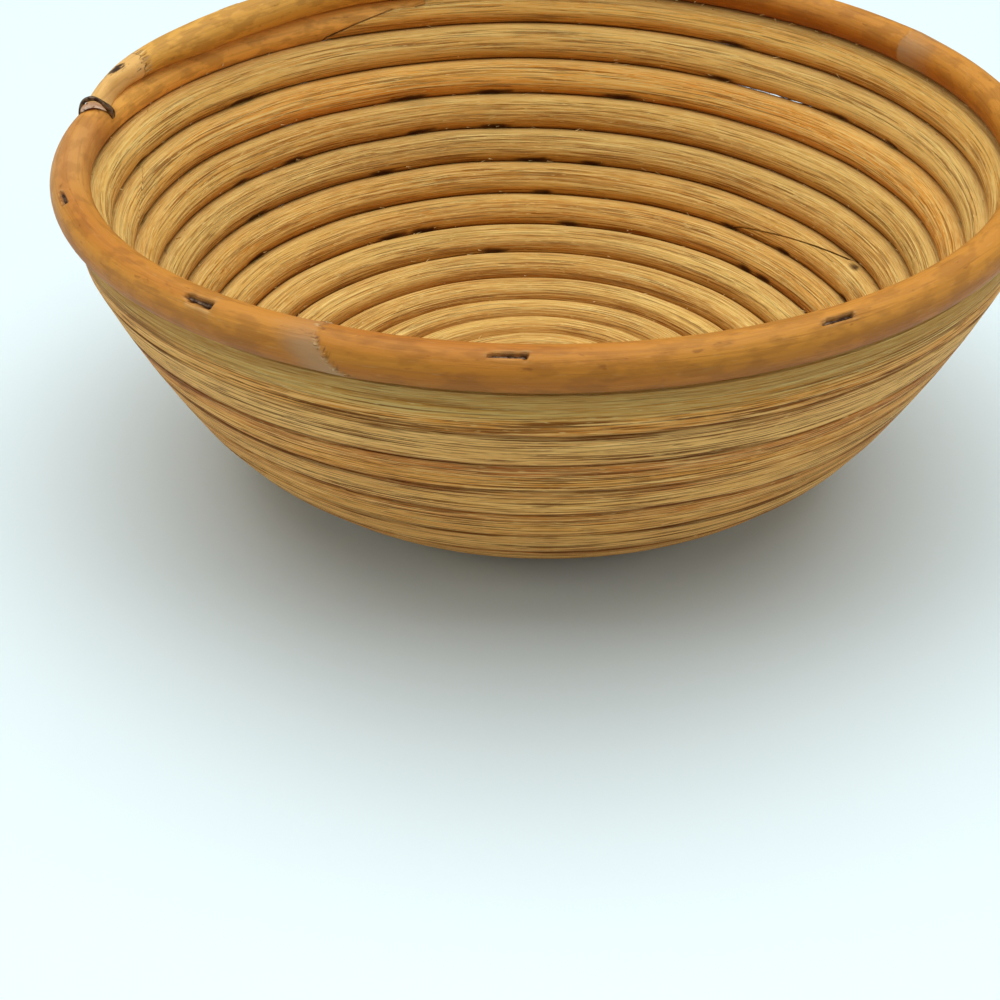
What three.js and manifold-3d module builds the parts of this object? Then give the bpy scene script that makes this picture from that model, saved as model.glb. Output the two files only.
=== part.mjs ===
// A round bowl wound from cane, the kind that holds bread dough while it proves.
// Three lengths of peeled cane follow one another in a single spiral, from the middle of the
// floor up the wall. A fourth length with its skin on makes the rim. Steel staples hold each
// turn to the turn before it. Millimetres, +Z up, the back of the bowl at +Y.

import * as THREE from 'three';
import { mergeVertices } from 'three/addons/utils/BufferGeometryUtils.js';
import Module from 'manifold-3d';

// Driving dimensions: the wall's profile, followed through the middle of the cane from the
// floor's centre to the rim. The floor is flat, and three arcs turn it up into the wall.
const FLOOR_RADIUS = 43.1;
const HEEL_RADIUS = 53.6;
const HEEL_END_SLOPE = 59.4;
const WALL_RADIUS = 235;
const WALL_END_SLOPE = 72;
const LIP_RADIUS = 2.5;

// Driving dimensions: the peeled cane. Its inner side is round and its outer side is sanded flat.
const CANE_WIDTH = 9.43;
const CANE_ROUND_DEPTH = 4.7;
const CANE_SHOULDER_DEPTH = 1.4;
const CANE_SANDED_DEPTH = 4.0;
const CANE_CROWN_WIDTH = 4.2;
const TURN_GAP = 0.5;
const BASE_CUT_DEPTH = 0.5;

// Driving dimensions: the rim cane.
const RIM_CANE_DIAMETER = 8.6;
const RIM_THIN_WIDTH = 6;
const RIM_TILT_RISE = 1.4;
const RIM_TILT_TURNS = 4;

// Where the lengths of cane start and end, in turns. Turns are counted outwards from the floor's
// centre, and turn TURNS is at the back of the rim. A scarf is the slanting splice of two lengths.
const TURNS = 16;
const CENTRE_TURN = 0.5;
const CENTRE_TAPER_TURNS = 0.3;
const FIRST_SCARF = { start: TURNS - 6.203, end: TURNS - 6.107 };
const SECOND_SCARF = { start: TURNS - 2.773, end: TURNS - 2.721 };
const RIM_SCARF = { start: TURNS - 0.956, end: TURNS - 0.893 };
const RIM_END_TURN = TURNS + 0.243;
const RIM_SETTLE = { start: TURNS + 0.044, end: TURNS + 0.083 };
const RIM_ROLL = { start: TURNS + 0.06, full: TURNS + 0.155, angle: 18, endAngle: 6, endHeight: 2.8 };
const RIM_THIN_START = TURNS + 0.15;
// The rim cane is pared flatter where its own end lies on it.
const RIM_PARED = { start: TURNS - 0.92, full: TURNS - 0.86, back: TURNS - 0.8, end: TURNS - 0.74, depth: 0.9 };
const TIP_THICKNESS = 1.3;

// Driving dimensions: the steel staples and the brad.
const STAPLE_CROWN = 6.2;
const STAPLE_REACH = 4.1;
const STAPLE_WIRE = 1.0;
const STAPLE_CLEARANCE = 0.3;
const RIM_STAPLE_SINK = 0.8;
const RIM_STAPLE_ACROSS = 0.1;
const FIRST_STAPLE_TURN = 2;
const LAST_STAPLE_TURN = TURNS - 1.36;
const STAPLE_STEP_TURNS = 7 / 24;
const RIM_STAPLE_TURNS = [
  TURNS - 0.683,
  TURNS - 0.596,
  TURNS - 0.507,
  TURNS - 0.419,
  TURNS - 0.333,
  TURNS - 0.244,
  TURNS - 0.103,
  TURNS - 0.017,
  TURNS + 0.069,
  TURNS + 0.146,
];
const BAND = {
  turn: TURNS + 0.229,
  width: 1.6,
  thickness: 0.7,
  span: 7.4,
  legDepth: 2.6,
  rise: 0.5,
  peakOffset: 1.7,
  innerSlopeStart: 1.1,
  innerSlopeDrop: 0.6,
  outerShoulderDrop: 1.6,
};
const BRAD = {
  turn: TURNS - 6.192,
  level: 0.36,
  diameter: 1.3,
  length: 8.5,
  headDiameter: 2.4,
  headHeight: 0.8,
  lean: 50,
};

// How finely the spiral is faceted. A section closer than this share of a step to the end of a
// cane is left out.
const STEPS_PER_TURN = 24;
const NEAREST_STEP_SHARE = 0.15;
const BRAD_SIDES = 8;
const MERGE_DISTANCE = 1e-4;

const PITCH = CANE_WIDTH + TURN_GAP;
const RIM_HALF = RIM_CANE_DIAMETER / 2;
const HEXAGON_RATIO = 1 / Math.cos(Math.PI / 6);
const AHEAD_TURNS = 0.1 / STEPS_PER_TURN;

const wasm = await Module();
wasm.setup();

// The profile's stretches, each with its length and the slope at its two ends.
function profileStretches() {
  const heel = THREE.MathUtils.degToRad(HEEL_END_SLOPE);
  const wall = THREE.MathUtils.degToRad(WALL_END_SLOPE);
  const upright = Math.PI / 2;
  return [
    { length: FLOOR_RADIUS, from: 0, to: 0 },
    { length: HEEL_RADIUS * heel, from: 0, to: heel },
    { length: WALL_RADIUS * (wall - heel), from: heel, to: wall },
    { length: LIP_RADIUS * (upright - wall), from: wall, to: upright },
  ];
}

const STRETCHES = profileStretches();

// Radius, height and slope of the profile at a distance along it from the floor's centre.
function profileAt(distance) {
  const at = { radius: 0, height: CANE_SANDED_DEPTH - BASE_CUT_DEPTH, slope: 0 };
  let left = distance;
  for (const stretch of STRETCHES) {
    const run = Math.min(left, stretch.length);
    const bend = (stretch.to - stretch.from) / stretch.length;
    at.slope = stretch.from + bend * run;
    if (bend === 0) {
      at.radius += run * Math.cos(stretch.from);
      at.height += run * Math.sin(stretch.from);
    } else {
      at.radius += (Math.sin(at.slope) - Math.sin(stretch.from)) / bend;
      at.height += (Math.cos(stretch.from) - Math.cos(at.slope)) / bend;
    }
    left -= run;
    if (left <= 0) return at;
  }
  at.height += left;
  return at;
}

// Angle around the bowl, anticlockwise from the back as seen from above.
function angleAt(turn) {
  return 2 * Math.PI * (turn - TURNS);
}

// The last turns lean: the rim is a little higher at the back than at the front.
function tiltRise(turn, angle) {
  const share = THREE.MathUtils.clamp((turn - TURNS + 1 + RIM_TILT_TURNS) / RIM_TILT_TURNS, 0, 1);
  return RIM_TILT_RISE * share * Math.cos(angle);
}

// A point of the wall. Level is the place across the turn, from -0.5 at its lower edge to 0.5 at
// its upper edge. Depth is measured outwards from the profile, and lift up along the wall.
function exactPoint(turn, level, depth, lift) {
  const angle = angleAt(turn);
  const at = profileAt((turn + level) * PITCH);
  const radius = at.radius + depth * Math.sin(at.slope) + lift * Math.cos(at.slope);
  const rise = tiltRise(turn + level, angle);
  const height = at.height - depth * Math.cos(at.slope) + lift * Math.sin(at.slope) + rise;
  return new THREE.Vector3(-radius * Math.sin(angle), radius * Math.cos(angle), height);
}

// All turns are faceted at the same angles, so a point between two steps lies on a straight facet.
function onFacet(turn, pointAtStep) {
  const step = (turn - TURNS) * STEPS_PER_TURN;
  const before = Math.floor(step + 1e-6);
  const share = step - before;
  const start = pointAtStep(TURNS + before / STEPS_PER_TURN);
  if (share < 1e-5) return start;
  return start.lerp(pointAtStep(TURNS + (before + 1) / STEPS_PER_TURN), share);
}

// The turns at which a length of cane has a section: its two ends and every step between them.
function stationTurns(start, end) {
  const stations = [start];
  const nearest = NEAREST_STEP_SHARE / STEPS_PER_TURN;
  const first = Math.ceil((start - TURNS) * STEPS_PER_TURN);
  for (let step = first; TURNS + step / STEPS_PER_TURN < end - nearest; step += 1) {
    const turn = TURNS + step / STEPS_PER_TURN;
    if (turn > start + nearest) stations.push(turn);
  }
  stations.push(end);
  return stations;
}

// How far a scarf has been crossed at a turn, from 0 where it starts to 1 where it ends.
function scarfShare(scarf, turn) {
  return THREE.MathUtils.clamp((turn - scarf.start) / (scarf.end - scarf.start), 0, 1);
}

const TIP_SHARE = (TIP_THICKNESS + TURN_GAP) / PITCH;

function tipStart(scarf) {
  return THREE.MathUtils.lerp(scarf.start, scarf.end, TIP_SHARE);
}

function tipEnd(scarf) {
  return THREE.MathUtils.lerp(scarf.end, scarf.start, TIP_SHARE);
}

// How far the cane's round inner side stands in from the profile at a level of the turn.
function roundDepth(level) {
  const bulge = Math.sqrt(Math.max(0, 1 - 4 * level * level));
  return CANE_SHOULDER_DEPTH + (CANE_ROUND_DEPTH - CANE_SHOULDER_DEPTH) * bulge;
}

// Section of a peeled cane between two levels of its turn: two outer corners, which are sanded
// flush with the wall, and four points on the round inner side.
function peeledSection(turn, lowLevel, highLevel) {
  const inset = TURN_GAP / 2;
  const crown = CANE_CROWN_WIDTH / CANE_WIDTH / 2;
  const across = [
    { level: highLevel, lift: -inset },
    { level: THREE.MathUtils.lerp(lowLevel, highLevel, 0.5 + crown), lift: 0 },
    { level: THREE.MathUtils.lerp(lowLevel, highLevel, 0.5 - crown), lift: 0 },
    { level: lowLevel, lift: inset },
  ];
  const place = (level, depth, lift) => onFacet(turn, (step) => exactPoint(step, level, depth, lift));
  return [
    place(lowLevel, CANE_SANDED_DEPTH, inset),
    place(highLevel, CANE_SANDED_DEPTH, -inset),
    ...across.map(({ level, lift }) => place(level, -roundDepth(level), lift)),
  ];
}

// Closed skin over a row of sections that all have as many points, in the same order.
function loftGeometry(sections) {
  const sides = sections[0].length;
  const points = sections.flat();
  const corners = [];
  for (let ring = 0; ring + 1 < sections.length; ring += 1) {
    for (let side = 0; side < sides; side += 1) {
      const next = (side + 1) % sides;
      const a = ring * sides + side;
      const b = ring * sides + next;
      corners.push(a, b, b + sides, a, b + sides, a + sides);
    }
  }
  const last = (sections.length - 1) * sides;
  for (let side = 1; side + 1 < sides; side += 1) {
    corners.push(0, side + 1, side);
    corners.push(last, last + side, last + side + 1);
  }
  const geometry = new THREE.BufferGeometry();
  const positions = points.flatMap((point) => point.toArray());
  geometry.setAttribute('position', new THREE.Float32BufferAttribute(positions, 3));
  geometry.setIndex(corners);
  return geometry;
}

// A solid from a closed geometry, with its shared vertices merged and its faces turned outwards.
function solidFrom(geometry) {
  const bare = geometry.clone();
  bare.deleteAttribute('normal');
  bare.deleteAttribute('uv');
  const merged = mergeVertices(bare, MERGE_DISTANCE);
  const vertProperties = new Float32Array(merged.attributes.position.array);
  const triVerts = new Uint32Array(merged.index.array);
  if (signedVolume(vertProperties, triVerts) < 0) triVerts.reverse();
  return new wasm.Manifold(new wasm.Mesh({ numProp: 3, vertProperties, triVerts }));
}

function signedVolume(positions, corners) {
  const point = (index) => new THREE.Vector3().fromArray(positions, 3 * index);
  let volume = 0;
  for (let k = 0; k < corners.length; k += 3) {
    volume += point(corners[k]).dot(point(corners[k + 1]).cross(point(corners[k + 2])));
  }
  return volume;
}

function geometryFrom(solid) {
  const mesh = solid.getMesh();
  const geometry = new THREE.BufferGeometry();
  geometry.setAttribute('position', new THREE.BufferAttribute(new Float32Array(mesh.vertProperties), 3));
  geometry.setIndex(new THREE.BufferAttribute(new Uint32Array(mesh.triVerts), 1));
  geometry.computeVertexNormals();
  return geometry;
}

// Sections of one length of peeled cane. It starts as a tip along the upper edge of its turn and
// ends as a tip along the lower edge, so each length laps the next in a slanting scarf.
function peeledCane(startScarf, endScarf) {
  const turns = stationTurns(tipStart(startScarf), tipEnd(endScarf));
  return turns.map((turn) =>
    peeledSection(turn, 0.5 - scarfShare(startScarf, turn), 0.5 - scarfShare(endScarf, turn)),
  );
}

// Half the height of the rim cane before its end, less where its end lies on it.
function rimHalf(turn) {
  const into = THREE.MathUtils.smoothstep(turn, RIM_PARED.start, RIM_PARED.full);
  const outOf = THREE.MathUtils.smoothstep(turn, RIM_PARED.back, RIM_PARED.end);
  return RIM_HALF - (RIM_PARED.depth / 2) * (into - outOf);
}

// Middle of the rim cane where it is seated on the turn below, clear of that turn's inner shoulder.
function seatedRimCentre(turn) {
  const shoulder = exactPoint(turn - 1, 0.5, -CANE_SHOULDER_DEPTH, -TURN_GAP / 2);
  return exactPoint(turn, 0, 0, 0).setZ(shoulder.z + TURN_GAP + rimHalf(turn));
}

// The end of the rim cane lies on its own start, leans towards the inside and thins.
function rimEndState(turn) {
  const settle = THREE.MathUtils.smoothstep(turn, RIM_SETTLE.start, RIM_SETTLE.end);
  const roll = THREE.MathUtils.smoothstep(turn, RIM_ROLL.start, RIM_ROLL.full);
  const thin = THREE.MathUtils.smoothstep(turn, RIM_THIN_START, RIM_END_TURN);
  const half = THREE.MathUtils.lerp(RIM_HALF, RIM_ROLL.endHeight / 2, thin);
  const seated = THREE.MathUtils.lerp(PITCH, RIM_HALF + rimHalf(turn - 1) + TURN_GAP, settle);
  const lean = THREE.MathUtils.degToRad(THREE.MathUtils.lerp(RIM_ROLL.angle, RIM_ROLL.endAngle, thin)) * roll;
  return { half, distance: seated - RIM_HALF + half, lean };
}

// Section of the rim cane: six sides with a flat below and above. In the scarf it keeps its top
// and gains height downwards. Towards its end it thins and leans inwards.
function rimSectionAtStep(turn, height) {
  const angle = angleAt(turn);
  const laps = turn > RIM_SETTLE.start;
  const state = laps ? rimEndState(turn) : { half: rimHalf(turn), distance: 0, lean: 0 };
  const centre = seatedRimCentre(laps ? turn - 1 : turn);
  const along = new THREE.Vector3(-Math.cos(angle), -Math.sin(angle), 0);
  const out = new THREE.Vector3(-Math.sin(angle), Math.cos(angle), 0).applyAxisAngle(along, -state.lean);
  const up = new THREE.Vector3(0, 0, 1).applyAxisAngle(along, -state.lean);
  centre.addScaledVector(up, state.distance);
  const fullness = Math.min(state.half / RIM_HALF, height / RIM_CANE_DIAMETER);
  const wide = (HEXAGON_RATIO * THREE.MathUtils.lerp(RIM_THIN_WIDTH, RIM_CANE_DIAMETER, fullness)) / 2;
  const low = state.half - Math.min(height, 2 * state.half);
  const middle = (low + state.half) / 2;
  const corners = [
    [wide / 2, low],
    [wide, middle],
    [wide / 2, state.half],
    [-wide / 2, state.half],
    [-wide, middle],
    [-wide / 2, low],
  ];
  return corners.map(([x, y]) => centre.clone().addScaledVector(out, x).addScaledVector(up, y));
}

// Height left for the rim cane above the inner edge of the tip that it follows.
function rimHeight(turn) {
  const level = 0.5 - scarfShare(RIM_SCARF, turn);
  const split = onFacet(turn, (step) => exactPoint(step, level, -roundDepth(level), 0));
  const top = onFacet(turn, seatedRimCentre).z + rimHalf(turn);
  return Math.min(RIM_CANE_DIAMETER, top - split.z - TURN_GAP / 2);
}

function rimCaneStart() {
  const tipLevel = (RIM_HALF - TIP_THICKNESS - TURN_GAP) / PITCH;
  return THREE.MathUtils.lerp(RIM_SCARF.start, RIM_SCARF.end, 0.5 - tipLevel);
}

function rimCane() {
  return stationTurns(rimCaneStart(), RIM_END_TURN).map((turn) =>
    Array.from({ length: 6 }, (_, corner) =>
      onFacet(turn, (step) => rimSectionAtStep(step, rimHeight(turn))[corner]),
    ),
  );
}

// Outline of a wire bent along a row of points in a plane.
function wireOutline(bends, thickness, extraEnd) {
  const path = bends.map(([x, y]) => new THREE.Vector2(x, y));
  const last = path.length - 1;
  path[0].addScaledVector(path[0].clone().sub(path[1]).normalize(), extraEnd);
  path[last].addScaledVector(path[last].clone().sub(path[last - 1]).normalize(), extraEnd);
  const sideways = (from, to) => new THREE.Vector2(from.y - to.y, to.x - from.x).normalize();
  const offsets = path.map((point, k) => {
    const before = sideways(path[Math.max(k - 1, 0)], path[Math.max(k, 1)]);
    const after = sideways(path[Math.min(k, last - 1)], path[Math.min(k + 1, last)]);
    const mitre = before.clone().add(after).normalize();
    return mitre.multiplyScalar(thickness / 2 / mitre.dot(before));
  });
  const left = path.map((point, k) => point.clone().add(offsets[k]));
  const right = path.map((point, k) => point.clone().sub(offsets[k]));
  return new THREE.Shape([...left, ...right.reverse()]);
}

// A wire staple in its own frame: crown along X, legs down Z, wire width along Y.
function stapleGeometry(bends, thickness, width, grow) {
  const outline = wireOutline(bends, thickness + 2 * grow, grow);
  const geometry = new THREE.ExtrudeGeometry(outline, { depth: width + 2 * grow, bevelEnabled: false });
  geometry.translate(0, 0, -width / 2 - grow);
  geometry.rotateX(Math.PI / 2);
  return geometry;
}

// Middle line of a plain staple whose crown's top is at height 0. Its legs go through their own
// turn and reach into the turn below.
function plainBends() {
  const half = (STAPLE_CROWN - STAPLE_WIRE) / 2;
  const top = -STAPLE_WIRE / 2;
  const tip = -PITCH - STAPLE_REACH;
  return [[-half, tip], [-half, top], [half, top], [half, tip]];
}

// Frame of a fastener from two points along the cane and the direction in which it is driven.
function fastenerFrame(place, ahead, driven) {
  const along = ahead.clone().sub(place).normalize();
  const up = driven.clone().negate();
  up.addScaledVector(along, -up.dot(along)).normalize();
  const across = new THREE.Vector3().crossVectors(up, along);
  return new THREE.Matrix4().makeBasis(along, across, up).setPosition(place);
}

function wallStapleFrame(turn) {
  const seat = -STAPLE_CLEARANCE / 2;
  const middle = (CANE_SANDED_DEPTH - CANE_ROUND_DEPTH) / 2;
  const at = (step, level, lift) => onFacet(step, (s) => exactPoint(s, level, middle, lift));
  const crown = at(turn, 0.5, seat - TURN_GAP / 2);
  const ahead = at(turn + AHEAD_TURNS, 0.5, seat - TURN_GAP / 2);
  const below = at(turn, -0.5, 0);
  return fastenerFrame(crown, ahead, below.sub(crown));
}

function rimPoint(turn, across, height) {
  return onFacet(turn, (step) => {
    const ring = rimSectionAtStep(step, RIM_CANE_DIAMETER);
    const top = ring[2].clone().lerp(ring[3], across);
    return top.add(ring[0].clone().lerp(ring[5], across).sub(top).normalize().multiplyScalar(-height));
  });
}

function rimStapleFrame(turn) {
  const crown = rimPoint(turn, RIM_STAPLE_ACROSS, -RIM_STAPLE_SINK);
  const ahead = rimPoint(turn + AHEAD_TURNS, RIM_STAPLE_ACROSS, -RIM_STAPLE_SINK);
  const below = onFacet(turn, (step) => exactPoint(step, -1, 0, 0));
  return fastenerFrame(crown, ahead, below.sub(crown));
}

// A staple as its mesh's geometry and the pocket that the canes leave for it.
function placedStaple(bends, thickness, width, frame, openHeight) {
  const geometry = stapleGeometry(bends, thickness, width, 0).applyMatrix4(frame);
  let pocket = solidFrom(stapleGeometry(bends, thickness, width, STAPLE_CLEARANCE).applyMatrix4(frame));
  if (openHeight > 0) {
    const grow = 2 * STAPLE_CLEARANCE;
    const mouth = new THREE.BoxGeometry(STAPLE_CROWN + grow, width + grow, openHeight);
    mouth.translate(0, 0, openHeight / 2 - STAPLE_WIRE / 2).applyMatrix4(frame);
    pocket = pocket.add(solidFrom(mouth));
  }
  return { geometry, pocket };
}

function wallStaple(turn) {
  return placedStaple(plainBends(), STAPLE_WIRE, STAPLE_WIRE, wallStapleFrame(turn), 0);
}

function rimStaple(turn) {
  const mouth = STAPLE_WIRE / 2 + RIM_STAPLE_SINK + TURN_GAP / 2;
  return placedStaple(plainBends(), STAPLE_WIRE, STAPLE_WIRE, rimStapleFrame(turn), mouth);
}

// The flat band staple goes across the rim, over the thin end of the rim cane.
function bandStaple() {
  const state = rimEndState(BAND.turn);
  const lower = onFacet(BAND.turn, (step) => seatedRimCentre(step - 1));
  const ahead = onFacet(BAND.turn + AHEAD_TURNS, (step) => seatedRimCentre(step - 1));
  const up = new THREE.Vector3(0, 0, 1);
  const along = ahead.sub(lower).normalize();
  const out = new THREE.Vector3().crossVectors(along, up).normalize();
  const frame = new THREE.Matrix4().makeBasis(out, new THREE.Vector3().crossVectors(up, out), up);
  frame.setPosition(lower);
  const clear = STAPLE_CLEARANCE + BAND.thickness / 2;
  const top = (state.distance + state.half) * Math.cos(state.lean) + clear + BAND.rise;
  const side = BAND.span / 2;
  const bends = [
    [side, -BAND.legDepth],
    [side, top - BAND.outerShoulderDrop],
    [BAND.peakOffset, top],
    [-BAND.innerSlopeStart, top - BAND.innerSlopeDrop],
    [-side, RIM_HALF],
    [-side, -BAND.legDepth],
  ];
  return placedStaple(bends, BAND.thickness, BAND.width, frame, 0);
}

// The brad at the tip of the first scarf: a shank and a head on one turned profile.
function scarfBrad() {
  const at = (step, level, depth) => onFacet(step, (s) => exactPoint(s, level, depth, 0));
  const entry = at(BRAD.turn, BRAD.level, -roundDepth(BRAD.level) + BRAD.headHeight);
  const middle = at(BRAD.turn, BRAD.level, 0);
  const inwards = at(BRAD.turn, BRAD.level, -CANE_ROUND_DEPTH).sub(middle).normalize();
  const upWall = at(BRAD.turn, 0.5, 0).sub(at(BRAD.turn, -0.5, 0)).normalize();
  const lean = THREE.MathUtils.degToRad(BRAD.lean);
  const axis = inwards.multiplyScalar(Math.cos(lean)).addScaledVector(upWall, Math.sin(lean));
  const turned = (grow, headRoom) => {
    const shank = BRAD.diameter / 2 + grow;
    const head = BRAD.headDiameter / 2 + grow;
    const profile = [
      [0, -BRAD.length - grow],
      [shank, -BRAD.length - grow],
      [shank, -BRAD.headHeight - grow],
      [head, -BRAD.headHeight - grow],
      [head, headRoom],
      [0, headRoom],
    ].map(([x, y]) => new THREE.Vector2(x, y));
    const geometry = new THREE.LatheGeometry(profile, BRAD_SIDES);
    const upright = new THREE.Vector3(0, 1, 0);
    geometry.applyQuaternion(new THREE.Quaternion().setFromUnitVectors(upright, axis));
    return geometry.translate(entry.x, entry.y, entry.z);
  };
  return { geometry: turned(0, 0), pocket: solidFrom(turned(STAPLE_CLEARANCE, 2 * BRAD.headDiameter)) };
}

// Least gap between the turns of one length of cane, measured on its sections' points.
function leastGapToItself(sections) {
  const apart = Math.floor(STEPS_PER_TURN / 2);
  let least = Infinity;
  for (let a = 0; a < sections.length; a += 1) {
    for (let b = a + apart; b < sections.length; b += 1) {
      for (const p of sections[a]) {
        for (const q of sections[b]) least = Math.min(least, p.distanceTo(q));
      }
    }
  }
  return least;
}

function finish(color, roughness, metalness) {
  return new THREE.MeshStandardMaterial({ color, roughness, metalness });
}

const peeledStraw = finish(0xc9a46a, 0.62, 0);
const peeledGrey = finish(0xc2a377, 0.64, 0);
const peeledPale = finish(0xcfae78, 0.62, 0);
const rimSkin = finish(0xb9772f, 0.38, 0);
const darkSteel = finish(0x4a3a30, 0.45, 0.9);

const centreTaper = { start: CENTRE_TURN, end: CENTRE_TURN + CENTRE_TAPER_TURNS };
const canes = [
  { name: 'base_cane', sections: peeledCane(centreTaper, FIRST_SCARF), material: peeledStraw },
  { name: 'side_cane', sections: peeledCane(FIRST_SCARF, SECOND_SCARF), material: peeledGrey },
  { name: 'upper_cane', sections: peeledCane(SECOND_SCARF, RIM_SCARF), material: peeledPale },
  { name: 'rim_cane', sections: rimCane(), material: rimSkin },
];

function numbered(name, index) {
  return `${name}_${String(index + 1).padStart(2, '0')}`;
}

// Wall staples follow the spiral evenly, from below the rim to the middle of the floor.
const wallStapleTurns = [];
for (let turn = LAST_STAPLE_TURN; turn > FIRST_STAPLE_TURN; turn -= STAPLE_STEP_TURNS) {
  wallStapleTurns.push(turn);
}

const fasteners = [
  ...wallStapleTurns.map((turn, k) => ({ name: numbered('wall_staple', k), ...wallStaple(turn) })),
  ...RIM_STAPLE_TURNS.map((turn, k) => ({ name: numbered('rim_staple', k), ...rimStaple(turn) })),
  { name: 'rim_band_staple', ...bandStaple() },
  { name: 'scarf_brad', ...scarfBrad() },
];

// The sanding that makes the bowl stand flat takes everything below height 0.
function sandingBlock() {
  const reach = 4 * (FLOOR_RADIUS + HEEL_RADIUS + CANE_WIDTH);
  const block = new THREE.BoxGeometry(reach, reach, CANE_WIDTH);
  return solidFrom(block.translate(0, 0, -CANE_WIDTH / 2));
}

const sanded = sandingBlock();
const bowl = new THREE.Group();
for (const { name, sections, material } of canes) {
  console.log(`${name}: least gap between its own turns ${leastGapToItself(sections).toFixed(2)} mm`);
  let solid = solidFrom(loftGeometry(sections)).subtract(sanded);
  for (const { pocket } of fasteners) solid = solid.subtract(pocket);
  const mesh = new THREE.Mesh(geometryFrom(solid), material);
  mesh.name = name;
  bowl.add(mesh);
}
for (const { name, geometry } of fasteners) {
  const mesh = new THREE.Mesh(geometryFrom(solidFrom(geometry)), darkSteel);
  mesh.name = name;
  bowl.add(mesh);
}

// The origin is under the middle of the bowl, on the surface that it stands on.
const box = new THREE.Box3().setFromObject(bowl);
const middle = box.getCenter(new THREE.Vector3());
bowl.position.set(-middle.x, -middle.y, -box.min.z);

export default bowl;
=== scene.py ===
"""A bowl wound from cane: its canes, staples and finishes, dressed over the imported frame."""

import logging
import math
from collections.abc import Callable
from dataclasses import dataclass, fields
from enum import Enum
from typing import Any

import bmesh
import bpy
import numpy as np
from mathutils import Matrix, Vector


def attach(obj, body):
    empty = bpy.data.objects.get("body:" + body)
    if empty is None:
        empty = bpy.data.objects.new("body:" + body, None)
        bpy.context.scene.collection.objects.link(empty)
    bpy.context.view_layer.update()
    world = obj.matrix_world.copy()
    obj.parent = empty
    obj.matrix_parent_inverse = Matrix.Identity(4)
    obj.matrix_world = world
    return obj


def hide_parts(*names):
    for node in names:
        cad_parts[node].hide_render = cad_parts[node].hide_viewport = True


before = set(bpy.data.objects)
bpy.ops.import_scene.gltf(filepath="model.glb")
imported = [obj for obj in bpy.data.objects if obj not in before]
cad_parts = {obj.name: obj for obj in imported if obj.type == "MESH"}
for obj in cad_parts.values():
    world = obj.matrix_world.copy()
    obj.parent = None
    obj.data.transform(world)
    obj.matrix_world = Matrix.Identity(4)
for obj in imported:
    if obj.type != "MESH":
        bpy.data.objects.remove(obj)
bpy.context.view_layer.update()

LOG = logging.getLogger("cane_bowl")
MM = 0.001
TURNS = 16

Number = Any


def operator(operation: str, swapped: bool = False) -> Callable[["Num", Number], "Num"]:
    """Operator of node values that adds a math node.

    Args:
        operation: The math node's operation.
        swapped: Whether the node value is the second of the two.

    Returns:
        The method.
    """

    def method(self: "Num", other: Number) -> "Num":
        """Adds the node."""
        return self.nodes.math(operation, *((other, self) if swapped else (self, other)))

    return method


class Num:
    """A number or vector of a node tree, which takes the usual operators."""

    __add__, __radd__ = operator("ADD"), operator("ADD", True)
    __sub__, __rsub__ = operator("SUBTRACT"), operator("SUBTRACT", True)
    __mul__, __rmul__ = operator("MULTIPLY"), operator("MULTIPLY", True)
    __truediv__, __rtruediv__ = operator("DIVIDE"), operator("DIVIDE", True)
    __pow__ = operator("POWER")

    def __init__(self, nodes: "Nodes", socket: bpy.types.NodeSocket) -> None:
        """Keeps the socket that the value comes from."""
        self.nodes = nodes
        self.socket = socket

    def __neg__(self) -> "Num":
        """This with its sign changed."""
        return self * -1.0

    def out(self, name: str) -> "Num":
        """Another output of the same node."""
        return Num(self.nodes, self.socket.node.outputs[name])


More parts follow.
